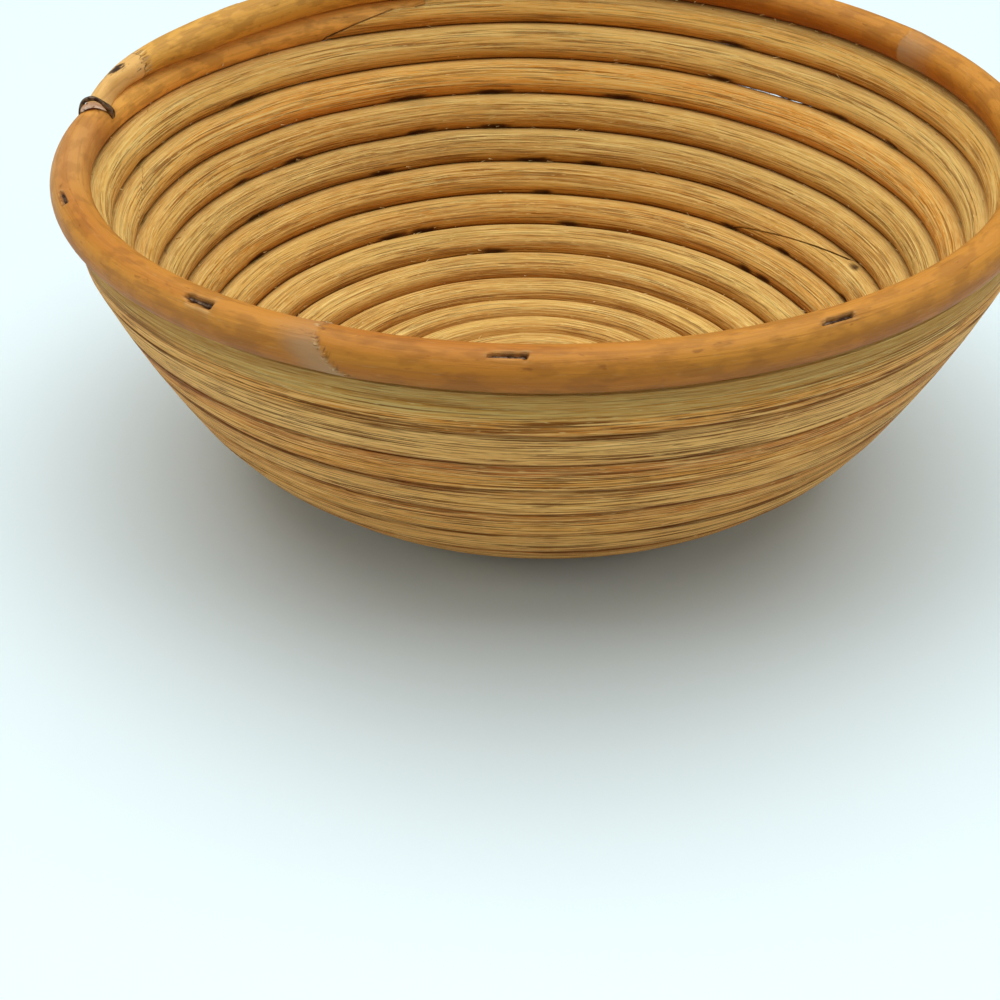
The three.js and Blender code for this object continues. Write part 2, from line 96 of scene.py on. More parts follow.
class Nodes:
    """Adds nodes to one tree and links them."""

    def __init__(self, tree: bpy.types.NodeTree, inputs: dict[str, Any] | None = None) -> None:
        """Makes the tree's own inputs, from names to defaults, and keeps each one in given.

        Args:
            tree: The tree that the nodes go into.
            inputs: Each input's name, with its default value or the kind of its socket.
        """
        self.tree = tree
        self.given: dict[str, Num] = {}
        for name, value in (inputs or {}).items():
            kind = value if isinstance(value, str) else self.kind_of(value)
            socket = tree.interface.new_socket(name, in_out="INPUT", socket_type=kind)
            if not isinstance(value, str):
                socket.default_value = value
        if inputs:
            source = tree.nodes.new("NodeGroupInput")
            self.given = {name: Num(self, source.outputs[name]) for name in inputs}

    @staticmethod
    def kind_of(value: Any) -> str:
        """Socket type that holds a value.

        Args:
            value: A whole number, a fraction, or a tuple of three or four.

        Returns:
            The socket type's name.
        """
        if isinstance(value, int):
            return "NodeSocketInt"
        if isinstance(value, tuple):
            return "NodeSocketVector" if len(value) == 3 else "NodeSocketColor"
        return "NodeSocketFloat"

    @staticmethod
    def socket_of(sockets: Any, key: int | str) -> bpy.types.NodeSocket:
        """The socket at an index, or the first one in use with that name.

        Args:
            sockets: A node's inputs or outputs.
            key: Index or name.

        Returns:
            The socket.
        """
        if isinstance(key, int):
            return sockets[key]
        return next(socket for socket in sockets if socket.name == key and socket.enabled)

    def add(self, kind: str, inputs: dict | None = None, out: int | str = 0, **settings: Any) -> Num:
        """Adds one node.

        Args:
            kind: The node's type.
            inputs: What each of its sockets gets, a value or another node's output.
            out: The output that is handed back.
            **settings: The node's own properties.

        Returns:
            The output asked for.
        """
        node = self.tree.nodes.new(kind)
        for name, value in settings.items():
            setattr(node, name, value)
        for key, value in (inputs or {}).items():
            socket = self.socket_of(node.inputs, key)
            if isinstance(value, Num):
                self.tree.links.new(value.socket, socket)
            else:
                socket.default_value = value
        return Num(self, self.socket_of(node.outputs, out))

    def math(self, operation: str, *values: Number) -> Num:
        """Adds a math node."""
        return self.add("ShaderNodeMath", dict(enumerate(values)), operation=operation)

    def vector(self, operation: str, *values: Any, out: str = "Vector") -> Num:
        """Adds a vector math node."""
        return self.add("ShaderNodeVectorMath", dict(enumerate(values)), out, operation=operation)

    def scaled(self, vector: Num, factor: Number) -> Num:
        """A vector times a number."""
        return self.add("ShaderNodeVectorMath", {0: vector, "Scale": factor}, operation="SCALE")

    def combine(self, x: Number, y: Number, z: Number) -> Num:
        """A vector from three numbers."""
        return self.add("ShaderNodeCombineXYZ", {"X": x, "Y": y, "Z": z})

    def separate(self, vector: Num) -> tuple[Num, Num, Num]:
        """The three numbers of a vector."""
        x = self.add("ShaderNodeSeparateXYZ", {"Vector": vector}, "X")
        return x, x.out("Y"), x.out("Z")

    def noise(self, vector: Num, scale: float = 1.0, detail: float = 2.0, rough: float = 0.5) -> Num:
        """Noise from 0 to 1 at a vector."""
        sizes = {"Vector": vector, "Scale": scale, "Detail": detail, "Roughness": rough}
        return self.add("ShaderNodeTexNoise", sizes, "Fac")

    def mix(self, share: Number, a: Any, b: Any, blend: str = "MIX") -> Num:
        """Colour between a and b."""
        inputs = {0: share, 6: a, 7: b}
        return self.add("ShaderNodeMix", inputs, 2, data_type="RGBA", blend_type=blend)

    def named(self, name: str, data_type: str = "FLOAT") -> Num:
        """A geometry tree's named attribute."""
        return self.add("GeometryNodeInputNamedAttribute", {"Name": name}, data_type=data_type)

    def store(self, geometry: Num, name: str, value: Number, data_type: str = "FLOAT") -> Num:
        """Keeps a value on the points of a geometry under a name."""
        inputs = {"Geometry": geometry, "Name": name, "Value": value}
        return self.add("GeometryNodeStoreNamedAttribute", inputs, data_type=data_type, domain="POINT")

    def give(self, kind: str, outputs: dict[str, Num]) -> None:
        """Ends the tree with its outputs.

        Args:
            kind: The socket type of all of them.
            outputs: What each one gives, by name.
        """
        end = self.tree.nodes.new("NodeGroupOutput")
        for name, value in outputs.items():
            self.tree.interface.new_socket(name, in_out="OUTPUT", socket_type=kind)
            self.tree.links.new(value.socket, end.inputs[name])


def either(operation: str, plain: Callable[..., Any]) -> Callable[..., Number]:
    """Function that takes node values as well as numbers and arrays.

    Args:
        operation: What it does with node values, as a math node's operation.
        plain: What it does with numbers and arrays.

    Returns:
        The function.
    """

    def chosen(*values: Number) -> Number:
        """Works the values out, or adds the node that does."""
        return values[0].nodes.math(operation, *values) if isinstance(values[0], Num) else plain(*values)

    return chosen


sine, cosine, root = either("SINE", np.sin), either("COSINE", np.cos), either("SQRT", np.sqrt)
least, most = either("MINIMUM", np.minimum), either("MAXIMUM", np.maximum)


def step(low: Number, high: Number, value: Number) -> Number:
    """Smooth rise from 0 at low to 1 at high."""
    share = least(most((value - low) / (high - low), 0.0), 1.0)
    return share * share * (3.0 - 2.0 * share)


def eased(rows: tuple[tuple[float, float], ...], value: np.ndarray) -> np.ndarray:
    """Smooth curve through the rows of a table, which never passes beyond a row's value.

    Args:
        rows: Places and the value at each one.
        value: Places to look up.

    Returns:
        The values there.
    """
    places, values = np.array(rows).T
    rises = np.diff(values) / np.diff(places)
    before, after = rises[:-1], rises[1:]
    steady = before * after > 0
    slopes = np.zeros(len(places))
    slopes[1:-1] = np.where(steady, 2 * before * after / np.where(steady, before + after, 1.0), 0.0)
    row = np.clip(np.searchsorted(places, value) - 1, 0, len(places) - 2)
    span = places[row + 1] - places[row]
    share = np.clip((value - places[row]) / span, 0, 1)
    bend = slopes[row] * span * share * (1 - share) ** 2 - slopes[row + 1] * span * share**2 * (1 - share)
    return values[row] + (values[row + 1] - values[row]) * step(0.0, 1.0, share) + bend


def colour(code: str) -> tuple[float, float, float, float]:
    """Linear colour from a hex code."""
    parts = (int(code[k : k + 2], 16) / 255 for k in (0, 2, 4))
    return (*(c / 12.92 if c <= 0.04045 else ((c + 0.055) / 1.055) ** 2.4 for c in parts), 1.0)


@dataclass(frozen=True)
class Wall:
    """The bowl's profile through the middle of its canes, and the spiral that follows it."""

    base_height: Number = 3.5 * MM
    floor_radius: Number = 43.1 * MM
    heel_radius: Number = 53.6 * MM
    heel_end: Number = math.radians(59.4)
    wall_radius: Number = 235 * MM
    wall_end: Number = math.radians(72)
    lip_radius: Number = 2.5 * MM
    pitch: Number = 9.93 * MM
    tilt_rise: Number = 1.4 * MM
    tilt_turns: Number = 4.0

    def at(self, distance: Number) -> tuple[Number, Number, Number]:
        """Place on the profile.

        Args:
            distance: Distance along the profile from the floor's centre.

        Returns:
            Radius, height and slope there.
        """
        left = distance
        radius, height, slope = least(left, self.floor_radius), self.base_height, 0.0
        left = left - self.floor_radius
        bends = (
            (self.heel_radius, 0.0, self.heel_end),
            (self.wall_radius, self.heel_end, self.wall_end),
            (self.lip_radius, self.wall_end, math.pi / 2),
        )
        for bend, start, end in bends:
            turned = least(most(left / bend, 0.0), end - start)
            radius = radius + bend * (sine(turned + start) - sine(start))
            height = height + bend * (cosine(start) - cosine(turned + start))
            slope = turned + slope
            left = left - bend * (end - start)
        return radius, height + most(left, 0.0), slope

    def place(self, turn: Number, across: Number, depth: Number) -> tuple[Number, Number, Number]:
        """Point of the wall.

        Args:
            turn: Turns from the floor's centre, with turn TURNS at the back of the rim.
            across: Distance up the wall from the middle of the turn.
            depth: Distance outwards from the profile.

        Returns:
            The point's x, y and z.
        """
        distance = turn * self.pitch + across
        radius, height, slope = self.at(distance)
        angle = (turn - TURNS) * (2 * math.pi)
        reached = (distance / self.pitch - TURNS + 1 + self.tilt_turns) / self.tilt_turns
        rise = least(most(reached, 0.0), 1.0) * self.tilt_rise * cosine(angle)
        radius = radius + depth * sine(slope)
        return -radius * sine(angle), radius * cosine(angle), height - depth * cosine(slope) + rise


@dataclass(frozen=True)
class Section:
    """Section of a peeled cane: a round inner side and a sanded outer side."""

    crown: Number = 4.85 * MM
    shoulder: Number = 0.9 * MM
    squareness: Number = 1.25
    sanded: Number = 4.0 * MM
    corner: Number = 0.12
    inner_share: Number = 0.7
    gap: Number = 0.006 * MM
    opening: Number = 0.2 * MM
    cut: Number = 0.22 * MM
    ease: Number = 2.2 * MM
    sway: Number = 1.2 * MM
    swell: Number = 0.4 * MM

    def bulge(self, level: Number) -> Number:
        """Distance that the round side stands in from the profile at a level."""
        fall = (4.0 * level * level) ** self.squareness
        return self.shoulder + (self.crown - self.shoulder) * root(most(1.0 - fall, 0.0))


WALL = Wall()
SECTION = Section()


class Splice(Enum):
    """Where a slanting splice starts and ends, in turns."""

    CENTRE = (0.5, 0.8)
    FIRST = (TURNS - 6.203, TURNS - 6.107)
    SECOND = (TURNS - 2.773, TURNS - 2.721)
    RIM = (TURNS - 0.956, TURNS - 0.893)


# Share of a splice at which the thin tip of each cane stops, and over which its cut face begins.
TIP_SHARE = 0.06
CUT_EASE = 0.05
# Stretches of groove that light shows through: start and end in turns, and how far each is broken up
# into dots. They ease in and out over this share of a turn.
OPENING_EASE = 0.003
OPEN_GROOVES = ((13.323, 13.346, 0.0), (13.365, 13.409, 1.0), (13.702, 13.721, 1.0))
# Turns of the rim's staples, and the rim's radius.
RIM_RADIUS = 110 * MM
RIM_STAPLES = TURNS + np.array([-0.683, -0.596, -0.507, -0.419, -0.333, -0.244, -0.103, -0.017, 0.069, 0.146])


def sizes_of(*parts: Any) -> dict[str, float]:
    """Names and values of all sizes of some dataclasses, as a tree's inputs."""
    named = ((field.name, getattr(part, field.name)) for part in parts for field in fields(part))
    return {name.replace("_", " ").title(): value for name, value in named}


def given_sizes(kind: type, nodes: Nodes) -> Any:
    """The dataclass again, with the tree's inputs for its sizes."""
    names = [field.name for field in fields(kind)]
    return kind(**{name: nodes.given[name.replace("_", " ").title()] for name in names})


def plain_object(name: str, mesh: bpy.types.Mesh) -> bpy.types.Object:
    """New object at the origin, linked to the scene.

    Args:
        name: Its name.
        mesh: Its mesh.

    Returns:
        The object.
    """
    made = bpy.data.objects.new(name, mesh)
    bpy.context.scene.collection.objects.link(made)
    return made


def grown(name: str, tree: bpy.types.NodeTree, values: dict[str, Any]) -> bpy.types.Object:
    """Runs a geometry tree once and keeps its result as a plain mesh.

    Args:
        name: The new object's name.
        tree: The geometry node tree.
        values: What its inputs get, by name.

    Returns:
        The object, without its modifier.
    """
    made = plain_object(name, bpy.data.meshes.new(name))
    modifier = made.modifiers.new("grow", "NODES")
    modifier.node_group = tree
    for item in tree.interface.items_tree:
        if item.in_out == "INPUT" and item.name in values:
            modifier[item.identifier] = values[item.name]
    evaluated = made.evaluated_get(bpy.context.evaluated_depsgraph_get())
    mesh = bpy.data.meshes.new_from_object(evaluated)
    made.modifiers.clear()
    made.data = mesh
    mesh.name = name
    return made


def points_of(mesh: bpy.types.Mesh) -> np.ndarray:
    """The mesh's vertices.

    Args:
        mesh: The mesh.

    Returns:
        One row for each vertex.
    """
    flat = np.zeros(len(mesh.vertices) * 3, np.float32)
    mesh.vertices.foreach_get("co", flat)
    return flat.reshape(-1, 3).astype(float)


def attribute_of(mesh: bpy.types.Mesh, name: str) -> np.ndarray:
    """A float attribute of the mesh.

    Args:
        mesh: The mesh.
        name: The attribute's name.

    Returns:
        One number for each vertex.
    """
    values = np.zeros(len(mesh.vertices), np.float32)
    mesh.attributes[name].data.foreach_get("value", values)
    return values.astype(float)


def keep_attribute(mesh: bpy.types.Mesh, name: str, values: np.ndarray) -> None:
    """Stores a number or a vector for each vertex.

    Args:
        mesh: The mesh.
        name: The new attribute's name.
        values: One number or one row for each vertex.
    """
    vector = values.ndim == 2
    made = mesh.attributes.new(name, "FLOAT_VECTOR" if vector else "FLOAT", "POINT")
    made.data.foreach_set("vector" if vector else "value", values.astype(np.float32).ravel())


class CaneTree:
    """The geometry tree that winds a peeled cane along its stretch of the spiral."""

    dot_scale: float = 420.0
    ragged_scale: float = 240.0
    late_run: float = 0.15
    eased_levels: tuple[float, float] = (0.2, 0.5)
    seed_step: float = 7.3
    sway_scale: float = 22.0
    sway_ends: tuple[float, float] = (14.2, 15.3)
    swell_scale: float = 26.0
    swell_depths: tuple[float, float] = (1.5 * MM, 4.0 * MM)
    stain_scale: float = 560.0
    stain_ragged: float = 0.9
    stain_fade: tuple[float, float] = (0.2, 1.4)

    def __init__(self) -> None:
        """Builds the tree."""
        tree = bpy.data.node_groups.new("wound_peeled_cane", "GeometryNodeTree")
        own = {
            "Rings": 1200,
            "Sides": 36,
            "Start": 1.0,
            "End": 2.0,
            "Old Start": 0.0,
            "Old End": 0.1,
            "New Start": 3.0,
            "New End": 3.1,
            "Seed": 0,
            "Eased From": TURNS - 2.0,
            "Pockets": "NodeSocketObject",
            "Pocket Reach": 1.25 * MM,
            "Pocket Push": 0.6 * MM,
            "Finish": "NodeSocketMaterial",
        }
        self.nodes = Nodes(tree, {**own, **sizes_of(WALL, SECTION)})
        self.wall = given_sizes(Wall, self.nodes)
        self.section = given_sizes(Section, self.nodes)
        self.tree = tree
        self.close()

    def sweep(self) -> Num:
        """Sweeps a ring along the spiral.

        Returns:
            The tube, with turn, length and around stored on its points.
        """
        nodes, given = self.nodes, self.nodes.given
        line = nodes.add("GeometryNodeCurvePrimitiveLine", {"Start": (0, 0, 0), "End": (0, 0, 1)})
        curve = nodes.add("GeometryNodeResampleCurve", {"Curve": line, "Count": given["Rings"]}, mode="COUNT")
        share = nodes.add("GeometryNodeInputIndex") / (given["Rings"] - 1)
        start, end = given["Start"], given["End"]
        turn = root(start * start + (end * end - start * start) * share)
        curve = nodes.store(curve, "turn", turn)
        centre = nodes.combine(*self.wall.place(nodes.named("turn"), 0.0, 0.0))
        curve = nodes.add("GeometryNodeSetPosition", {"Geometry": curve, "Position": centre})
        length = nodes.add("GeometryNodeSplineParameter", out="Length")
        curve = nodes.store(curve, "length", length)
        circle = nodes.add("GeometryNodeCurvePrimitiveCircle", {"Resolution": given["Sides"], "Radius": MM})
        around = nodes.add("GeometryNodeInputIndex") / given["Sides"]
        circle = nodes.store(circle, "around", around)
        inputs = {"Curve": curve, "Profile Curve": circle, "Fill Caps": True}
        return nodes.add("GeometryNodeCurveToMesh", inputs)

    def edges(self) -> tuple[Num, Num, Num, Num]:
        """Edges of the cane, which the splices draw in.

        Returns:
            Lower and upper edge as shares of the turn, and how far each one is a splice's cut.
        """
        nodes, given = self.nodes, self.nodes.given
        turn = nodes.named("turn")
        inset = self.section.gap / (self.wall.pitch * 2.0)
        low_inset, high_inset = (inset + self.opened(turn + edge) for edge in (-0.5, 0.5))
        spans = ((given[f"{side} Start"], given[f"{side} End"]) for side in ("Old", "New"))
        old, new = (least(most((turn - start) / (end - start), 0.0), 1.0) for start, end in spans)
        low_cut, high_cut = (step(0.0, CUT_EASE, least(share, 1.0 - share)) for share in (old, new))
        old = old + (1.0 - old) * nodes.math("GREATER_THAN", old, 1.0 - TIP_SHARE)
        new = new * nodes.math("GREATER_THAN", new, TIP_SHARE)
        return 0.5 - old + low_inset, 0.5 - new - high_inset, low_cut, high_cut

    def opened(self, groove: Num) -> Num:
        """How far a cane's edge stands back where light shows through a groove.

        Args:
            groove: The groove that the edge lies in, in turns.

        Returns:
            The distance as a share of a turn.
        """
        nodes = self.nodes
        dotted = step(0.44, 0.56, nodes.noise(nodes.combine(groove * self.dot_scale, 0.0, 0.0), 1.0, 1.0))
        windows = (
            step(start, start + OPENING_EASE, groove)
            * (1.0 - step(end - OPENING_EASE, end, groove))
            * (1.0 - dots * (1.0 - dotted))
            for start, end, dots in OPEN_GROOVES
        )
        return sum(windows) * self.section.opening / self.wall.pitch

    def surface(self) -> tuple[Num, Num]:
        """Shapes the section.

        Returns:
            Level and depth of each point.
        """
        nodes, section = self.nodes, self.section
        around = nodes.named("around")
        low, high, low_cut, high_cut = self.edges()
        inner = least(around / section.inner_share, 1.0) * math.pi
        outer = most((around - section.inner_share) / (1.0 - section.inner_share), 0.0) * math.pi
        on_inner = nodes.math("LESS_THAN", around, section.inner_share)
        side = cosine(outer)
        swung = nodes.math("SIGN", side) * nodes.math("ABSOLUTE", side) ** section.corner
        share = (cosine(inner) * on_inner - swung * (1.0 - on_inner) + 1.0) * 0.5
        risen = most(sine(outer), 0.0) ** section.corner
        along = nodes.combine(nodes.named("turn") * self.ragged_scale, 0.0, 0.0)
        ragged = 0.4 + 1.2 * nodes.noise(along)
        drawn = (1.0 - risen) * ragged * section.cut / self.wall.pitch
        low = low + low_cut * drawn
        high = high - high_cut * drawn
        level = low + (high - low) * share
        edge = nodes.math("GREATER_THAN", share, 0.5)
        edge_bulge = section.bulge(low + (high - low) * edge)
        outer_depth = (section.sanded + edge_bulge) * risen - edge_bulge
        eased_from = nodes.given["Eased From"]
        late = step(eased_from, eased_from + self.late_run, nodes.named("turn"))
        eased = section.ease * step(*self.eased_levels, level) * late
        outer_depth = least(outer_depth, section.sanded - eased)
        depth = outer_depth * (1.0 - on_inner) - section.bulge(level) * on_inner
        return level, depth

    def shaped(self, geometry: Num) -> Num:
        """Moves the tube's points to the cane's surface and stores how far each one is stained and painted
        with shade.

        Args:
            geometry: The tube along the spiral.

        Returns:
            The cane.
        """
        nodes, section = self.nodes, self.section
        level, depth = self.surface()
        geometry = nodes.store(geometry, "across", level * self.wall.pitch)
        geometry = nodes.store(geometry, "depth", depth)
        turn, across, depth = nodes.named("turn"), nodes.named("across"), nodes.named("depth")
        seat = nodes.combine(*self.wall.place(turn, across, depth))
        geometry = nodes.store(geometry, "stain", self.stain_at(seat))
        seed = nodes.given["Seed"] * self.seed_step
        sway = (nodes.noise(seat, self.sway_scale, 1.0) - 0.5) * section.sway
        sway = sway * (1.0 - step(*self.sway_ends, turn + across / self.wall.pitch))
        along = nodes.combine(nodes.named("length") * self.swell_scale, turn * 3.1, seed)
        swell = (nodes.noise(along, 1.0, 1.0) - 0.5) * section.swell * step(*self.swell_depths, -depth)
        sunk = nodes.given["Pocket Push"] * nodes.named("stain") ** 2.0
        place = nodes.combine(*self.wall.place(turn, across + sway, depth - swell + sunk))
        return nodes.add("GeometryNodeSetPosition", {"Geometry": geometry, "Position": place})

    def stain_at(self, seat: Num) -> Num:
        """How strongly the nearest staple's pocket darkens a place, as staining and painted shade.

        Args:
            seat: The place.

        Returns:
            The strength, from 0 to 1.
        """
        nodes, given = self.nodes, self.nodes.given
        target = nodes.add("GeometryNodeObjectInfo", {"Object": given["Pockets"]}, "Geometry")
        index = nodes.add("GeometryNodeSampleNearest", {"Geometry": target, "Sample Position": seat})
        inputs = {"Geometry": target, "Index": index}
        centre = {**inputs, "Value": nodes.add("GeometryNodeInputPosition")}
        centre = nodes.add("GeometryNodeSampleIndex", centre, data_type="FLOAT_VECTOR")
        span = {**inputs, "Value": nodes.named("span")}
        span = nodes.add("GeometryNodeSampleIndex", span, data_type="FLOAT")
        apart = nodes.vector("SUBTRACT", seat, centre)
        angle = (nodes.named("turn") - TURNS) * (2 * math.pi)
        along = nodes.combine(cosine(angle), sine(angle), 0.0)
        run = nodes.vector("DOT_PRODUCT", apart, along, out="Value")
        away = nodes.vector("LENGTH", nodes.vector("SUBTRACT", apart, nodes.scaled(along, run)), out="Value")
        ragged = (nodes.noise(seat, self.stain_scale, 3.0) - 0.5) * self.stain_ragged
        near = root((run / span) ** 2.0 + (away / given["Pocket Reach"]) ** 2.0) + ragged
        return 1.0 - step(*self.stain_fade, near)

    def close(self) -> None:
        """Joins the steps, turns the faces outwards and ends the tree."""
        nodes = self.nodes
        geometry = self.shaped(self.sweep())
        x, y, z = nodes.separate(nodes.add("GeometryNodeInputPosition"))
        stood = nodes.combine(x, y, most(z, 0.0))
        geometry = nodes.add("GeometryNodeSetPosition", {"Geometry": geometry, "Position": stood})
        geometry = nodes.add("GeometryNodeFlipFaces", {"Mesh": geometry})
        geometry = nodes.add("GeometryNodeSetShadeSmooth", {"Geometry": geometry})
        geometry = nodes.add("GeometryNodeRealizeInstances", {"Geometry": geometry})
        inputs = {"Geometry": geometry, "Material": nodes.given["Finish"]}
        nodes.give("NodeSocketGeometry", {"Geometry": nodes.add("GeometryNodeSetMaterial", inputs)})


class LooseFibreTree:
    """The geometry tree that scatters torn fibres along the grooves between the canes."""

    cluster_scale: float = 70.0

    def __init__(self) -> None:
        """Builds the tree."""
        tree = bpy.data.node_groups.new("loose_fibres", "GeometryNodeTree")
        own = {
            "Count": 1000,
            "Seed": 5,
            "Start": 3.0,
            "End": 15.0,
            "Spread": 0.85 * MM,
            "Clusters": 0.46,
            "Longest": 2.4 * MM,
            "Thickest": 0.2 * MM,
            "Tilt": 1.1,
            "Finish": "NodeSocketMaterial",
        }
        self.nodes = Nodes(tree, {**own, **sizes_of(WALL, SECTION)})
        self.wall = given_sizes(Wall, self.nodes)
        self.section = given_sizes(Section, self.nodes)
        self.tree = tree
        self.scatter()

    def chance(self, low: Number, high: Number, shift: int) -> Num:
        """Random number between two values for each point."""
        inputs = {"Min": low, "Max": high, "Seed": self.nodes.given["Seed"] + float(shift)}
        return self.nodes.add("FunctionNodeRandomValue", inputs, "Value", data_type="FLOAT")

    def scatter(self) -> None:
        """Places a thin four-sided spike on each point and ends the tree."""
        nodes, given = self.nodes, self.nodes.given
        start, end, spread = given["Start"], given["End"], given["Spread"]
        points = nodes.add("GeometryNodePoints", {"Count": given["Count"]})
        points = nodes.store(points, "turn", root(self.chance(start * start, end * end, 0)))
        points = nodes.store(points, "beside", self.chance(-1.0 * spread, spread, 1))
        turn, beside = nodes.named("turn"), nodes.named("beside")
        away = nodes.math("ABSOLUTE", beside)
        depth = self.section.bulge(0.5 - away / self.wall.pitch)
        place = nodes.combine(*self.wall.place(turn, self.wall.pitch * 0.5 + beside, -1.0 * depth))
        points = nodes.add("GeometryNodeSetPosition", {"Geometry": points, "Position": place})
        angle = (turn - TURNS) * (2 * math.pi)
        tilt = given["Tilt"]
        lean = nodes.combine(*(self.chance(-0.5 * tilt, 0.5 * tilt, shift) for shift in (2, 3, 4)))
        along = nodes.vector("ADD", nodes.combine(cosine(angle), sine(angle), 0.0), lean)
        turned = nodes.add("FunctionNodeAlignRotationToVector", {"Vector": along}, axis="Z")
        thick = self.chance(given["Thickest"] * 0.5, given["Thickest"], 5)
        long = self.chance(given["Longest"] * 0.3, given["Longest"], 6)
        spike = {"Vertices": 4, "Radius Top": 0.1, "Radius Bottom": 1.0, "Depth": 1.0}
        spike = nodes.add("GeometryNodeMeshCone", spike)
        clustered = nodes.noise(nodes.combine(turn * self.cluster_scale, 0.0, 0.0), 1.0, 1.0)
        inputs = {
            "Points": points,
            "Selection": nodes.math("GREATER_THAN", clustered, given["Clusters"]),
            "Instance": spike,
            "Rotation": turned,
            "Scale": nodes.combine(thick, thick, long),
        }
        spikes = nodes.add("GeometryNodeInstanceOnPoints", inputs)
        spikes = nodes.add("GeometryNodeRealizeInstances", {"Geometry": spikes})
        inputs = {"Geometry": spikes, "Material": given["Finish"]}
        nodes.give("NodeSocketGeometry", {"Geometry": nodes.add("GeometryNodeSetMaterial", inputs)})


@dataclass(frozen=True)
class FibreFinish:
    """Finish of torn cane fibres: pale and dry."""

    name: str = "torn_cane_fibre"
    pale: str = "ecd296"
    dark: str = "b98a4a"

    def build(self) -> bpy.types.Material:
        """Makes the finish.

        Returns:
            The material.
        """
        finish = Finish(self.name)
        nodes = finish.nodes
        place = nodes.add("ShaderNodeTexCoord", out="Object")
        patch = step(0.35, 0.6, nodes.noise(place, 300.0, 2.0))
        base = nodes.mix(patch, colour(self.dark), colour(self.pale))
        finish.feed(Base_Color=base, Roughness=0.7, Specular_IOR_Level=0.15)
        return finish.material


@dataclass(frozen=True)
class PeeledCane:
    """One length of peeled cane and the splices at its two ends."""

    node: str
    old: Splice
    new: Splice
    rings: int
    seed: int

    def build(
        self, tree: CaneTree, pockets: bpy.types.Object, finish: bpy.types.Material
    ) -> bpy.types.Object:
        """Winds the cane.

        Args:
            tree: The tree that winds a peeled cane.
            pockets: A mesh with one vertex at each staple's crown.
            finish: The cane's material.

        Returns:
            The cane's object.
        """
        (old_start, old_end), (new_start, new_end) = self.old.value, self.new.value
        values = {
            "Rings": self.rings,
            "Start": old_start + (old_end - old_start) * TIP_SHARE,
            "End": new_end + (new_start - new_end) * TIP_SHARE,
            "Old Start": old_start,
            "Old End": old_end,
            "New Start": new_start,
            "New End": new_end,
            "Seed": self.seed,
            "Pockets": pockets,
            "Finish": finish,
        }
        made = grown(f"{self.node}_wound", tree.tree, values)
        mesh = made.data
        turn, across = attribute_of(mesh, "turn"), attribute_of(mesh, "across")
        cane = np.column_stack([attribute_of(mesh, "length"), across, attribute_of(mesh, "depth")])
        keep_attribute(mesh, "cane", cane)
        tones = np.array(TURN_TONES)
        for column, name in enumerate(("warmth", "greyness", "light"), 1):
            keep_attribute(mesh, name, np.interp(turn, tones[:, 0], tones[:, column]))
        for name in ("turn", "across", "length", "depth", "around"):
            mesh.attributes.remove(mesh.attributes[name])
        return made


# Turn, warmth, greyness and light of the peeled canes. Light is a painted brightening or darkening of each
# turn, standing in for how the lamps fall on it. Light acts on their inner side only.
TURN_TONES = (
    (1.0, 0.35, 0.3, 0.84),
    (4.0, 0.45, 0.2, 0.84),
    (5.0, 0.4, 0.25, 0.85),
    (6.0, 0.35, 0.2, 0.86),
    (7.0, 0.3, 0.3, 0.88),
    (8.0, 0.35, 0.45, 0.9),
    (8.5, 0.8, 0.1, 0.93),
    (9.0, 0.5, 0.15, 0.98),
    (9.5, 0.25, 0.4, 0.95),
    (10.0, 0.6, 0.1, 0.96),
    (10.5, 0.75, 0.1, 0.92),
    (11.0, 0.45, 0.5, 0.88),
    (11.5, 0.45, 0.35, 0.9),
    (12.0, 0.4, 0.25, 0.92),
    (12.35, 1.0, 0.0, 0.97),
    (13.1, 0.9, 0.0, 1.3),
    (13.4, 0.05, 0.8, 1.0),
    (14.0, 0.1, 0.6, 1.2),
    (14.35, 0.3, 0.25, 1.06),
    # The raised warmth at 14.45 to 14.6 is painted shade: on the outside it darkens and warms the band just
    # under the rim at the front, where the rim's shadow falls.
    (14.45, 0.75, 0.0, 1.0),
    (14.6, 0.75, 0.0, 1.0),
    (14.75, 0.3, 0.2, 1.1),
    (15.0, 0.3, 0.2, 1.26),
)


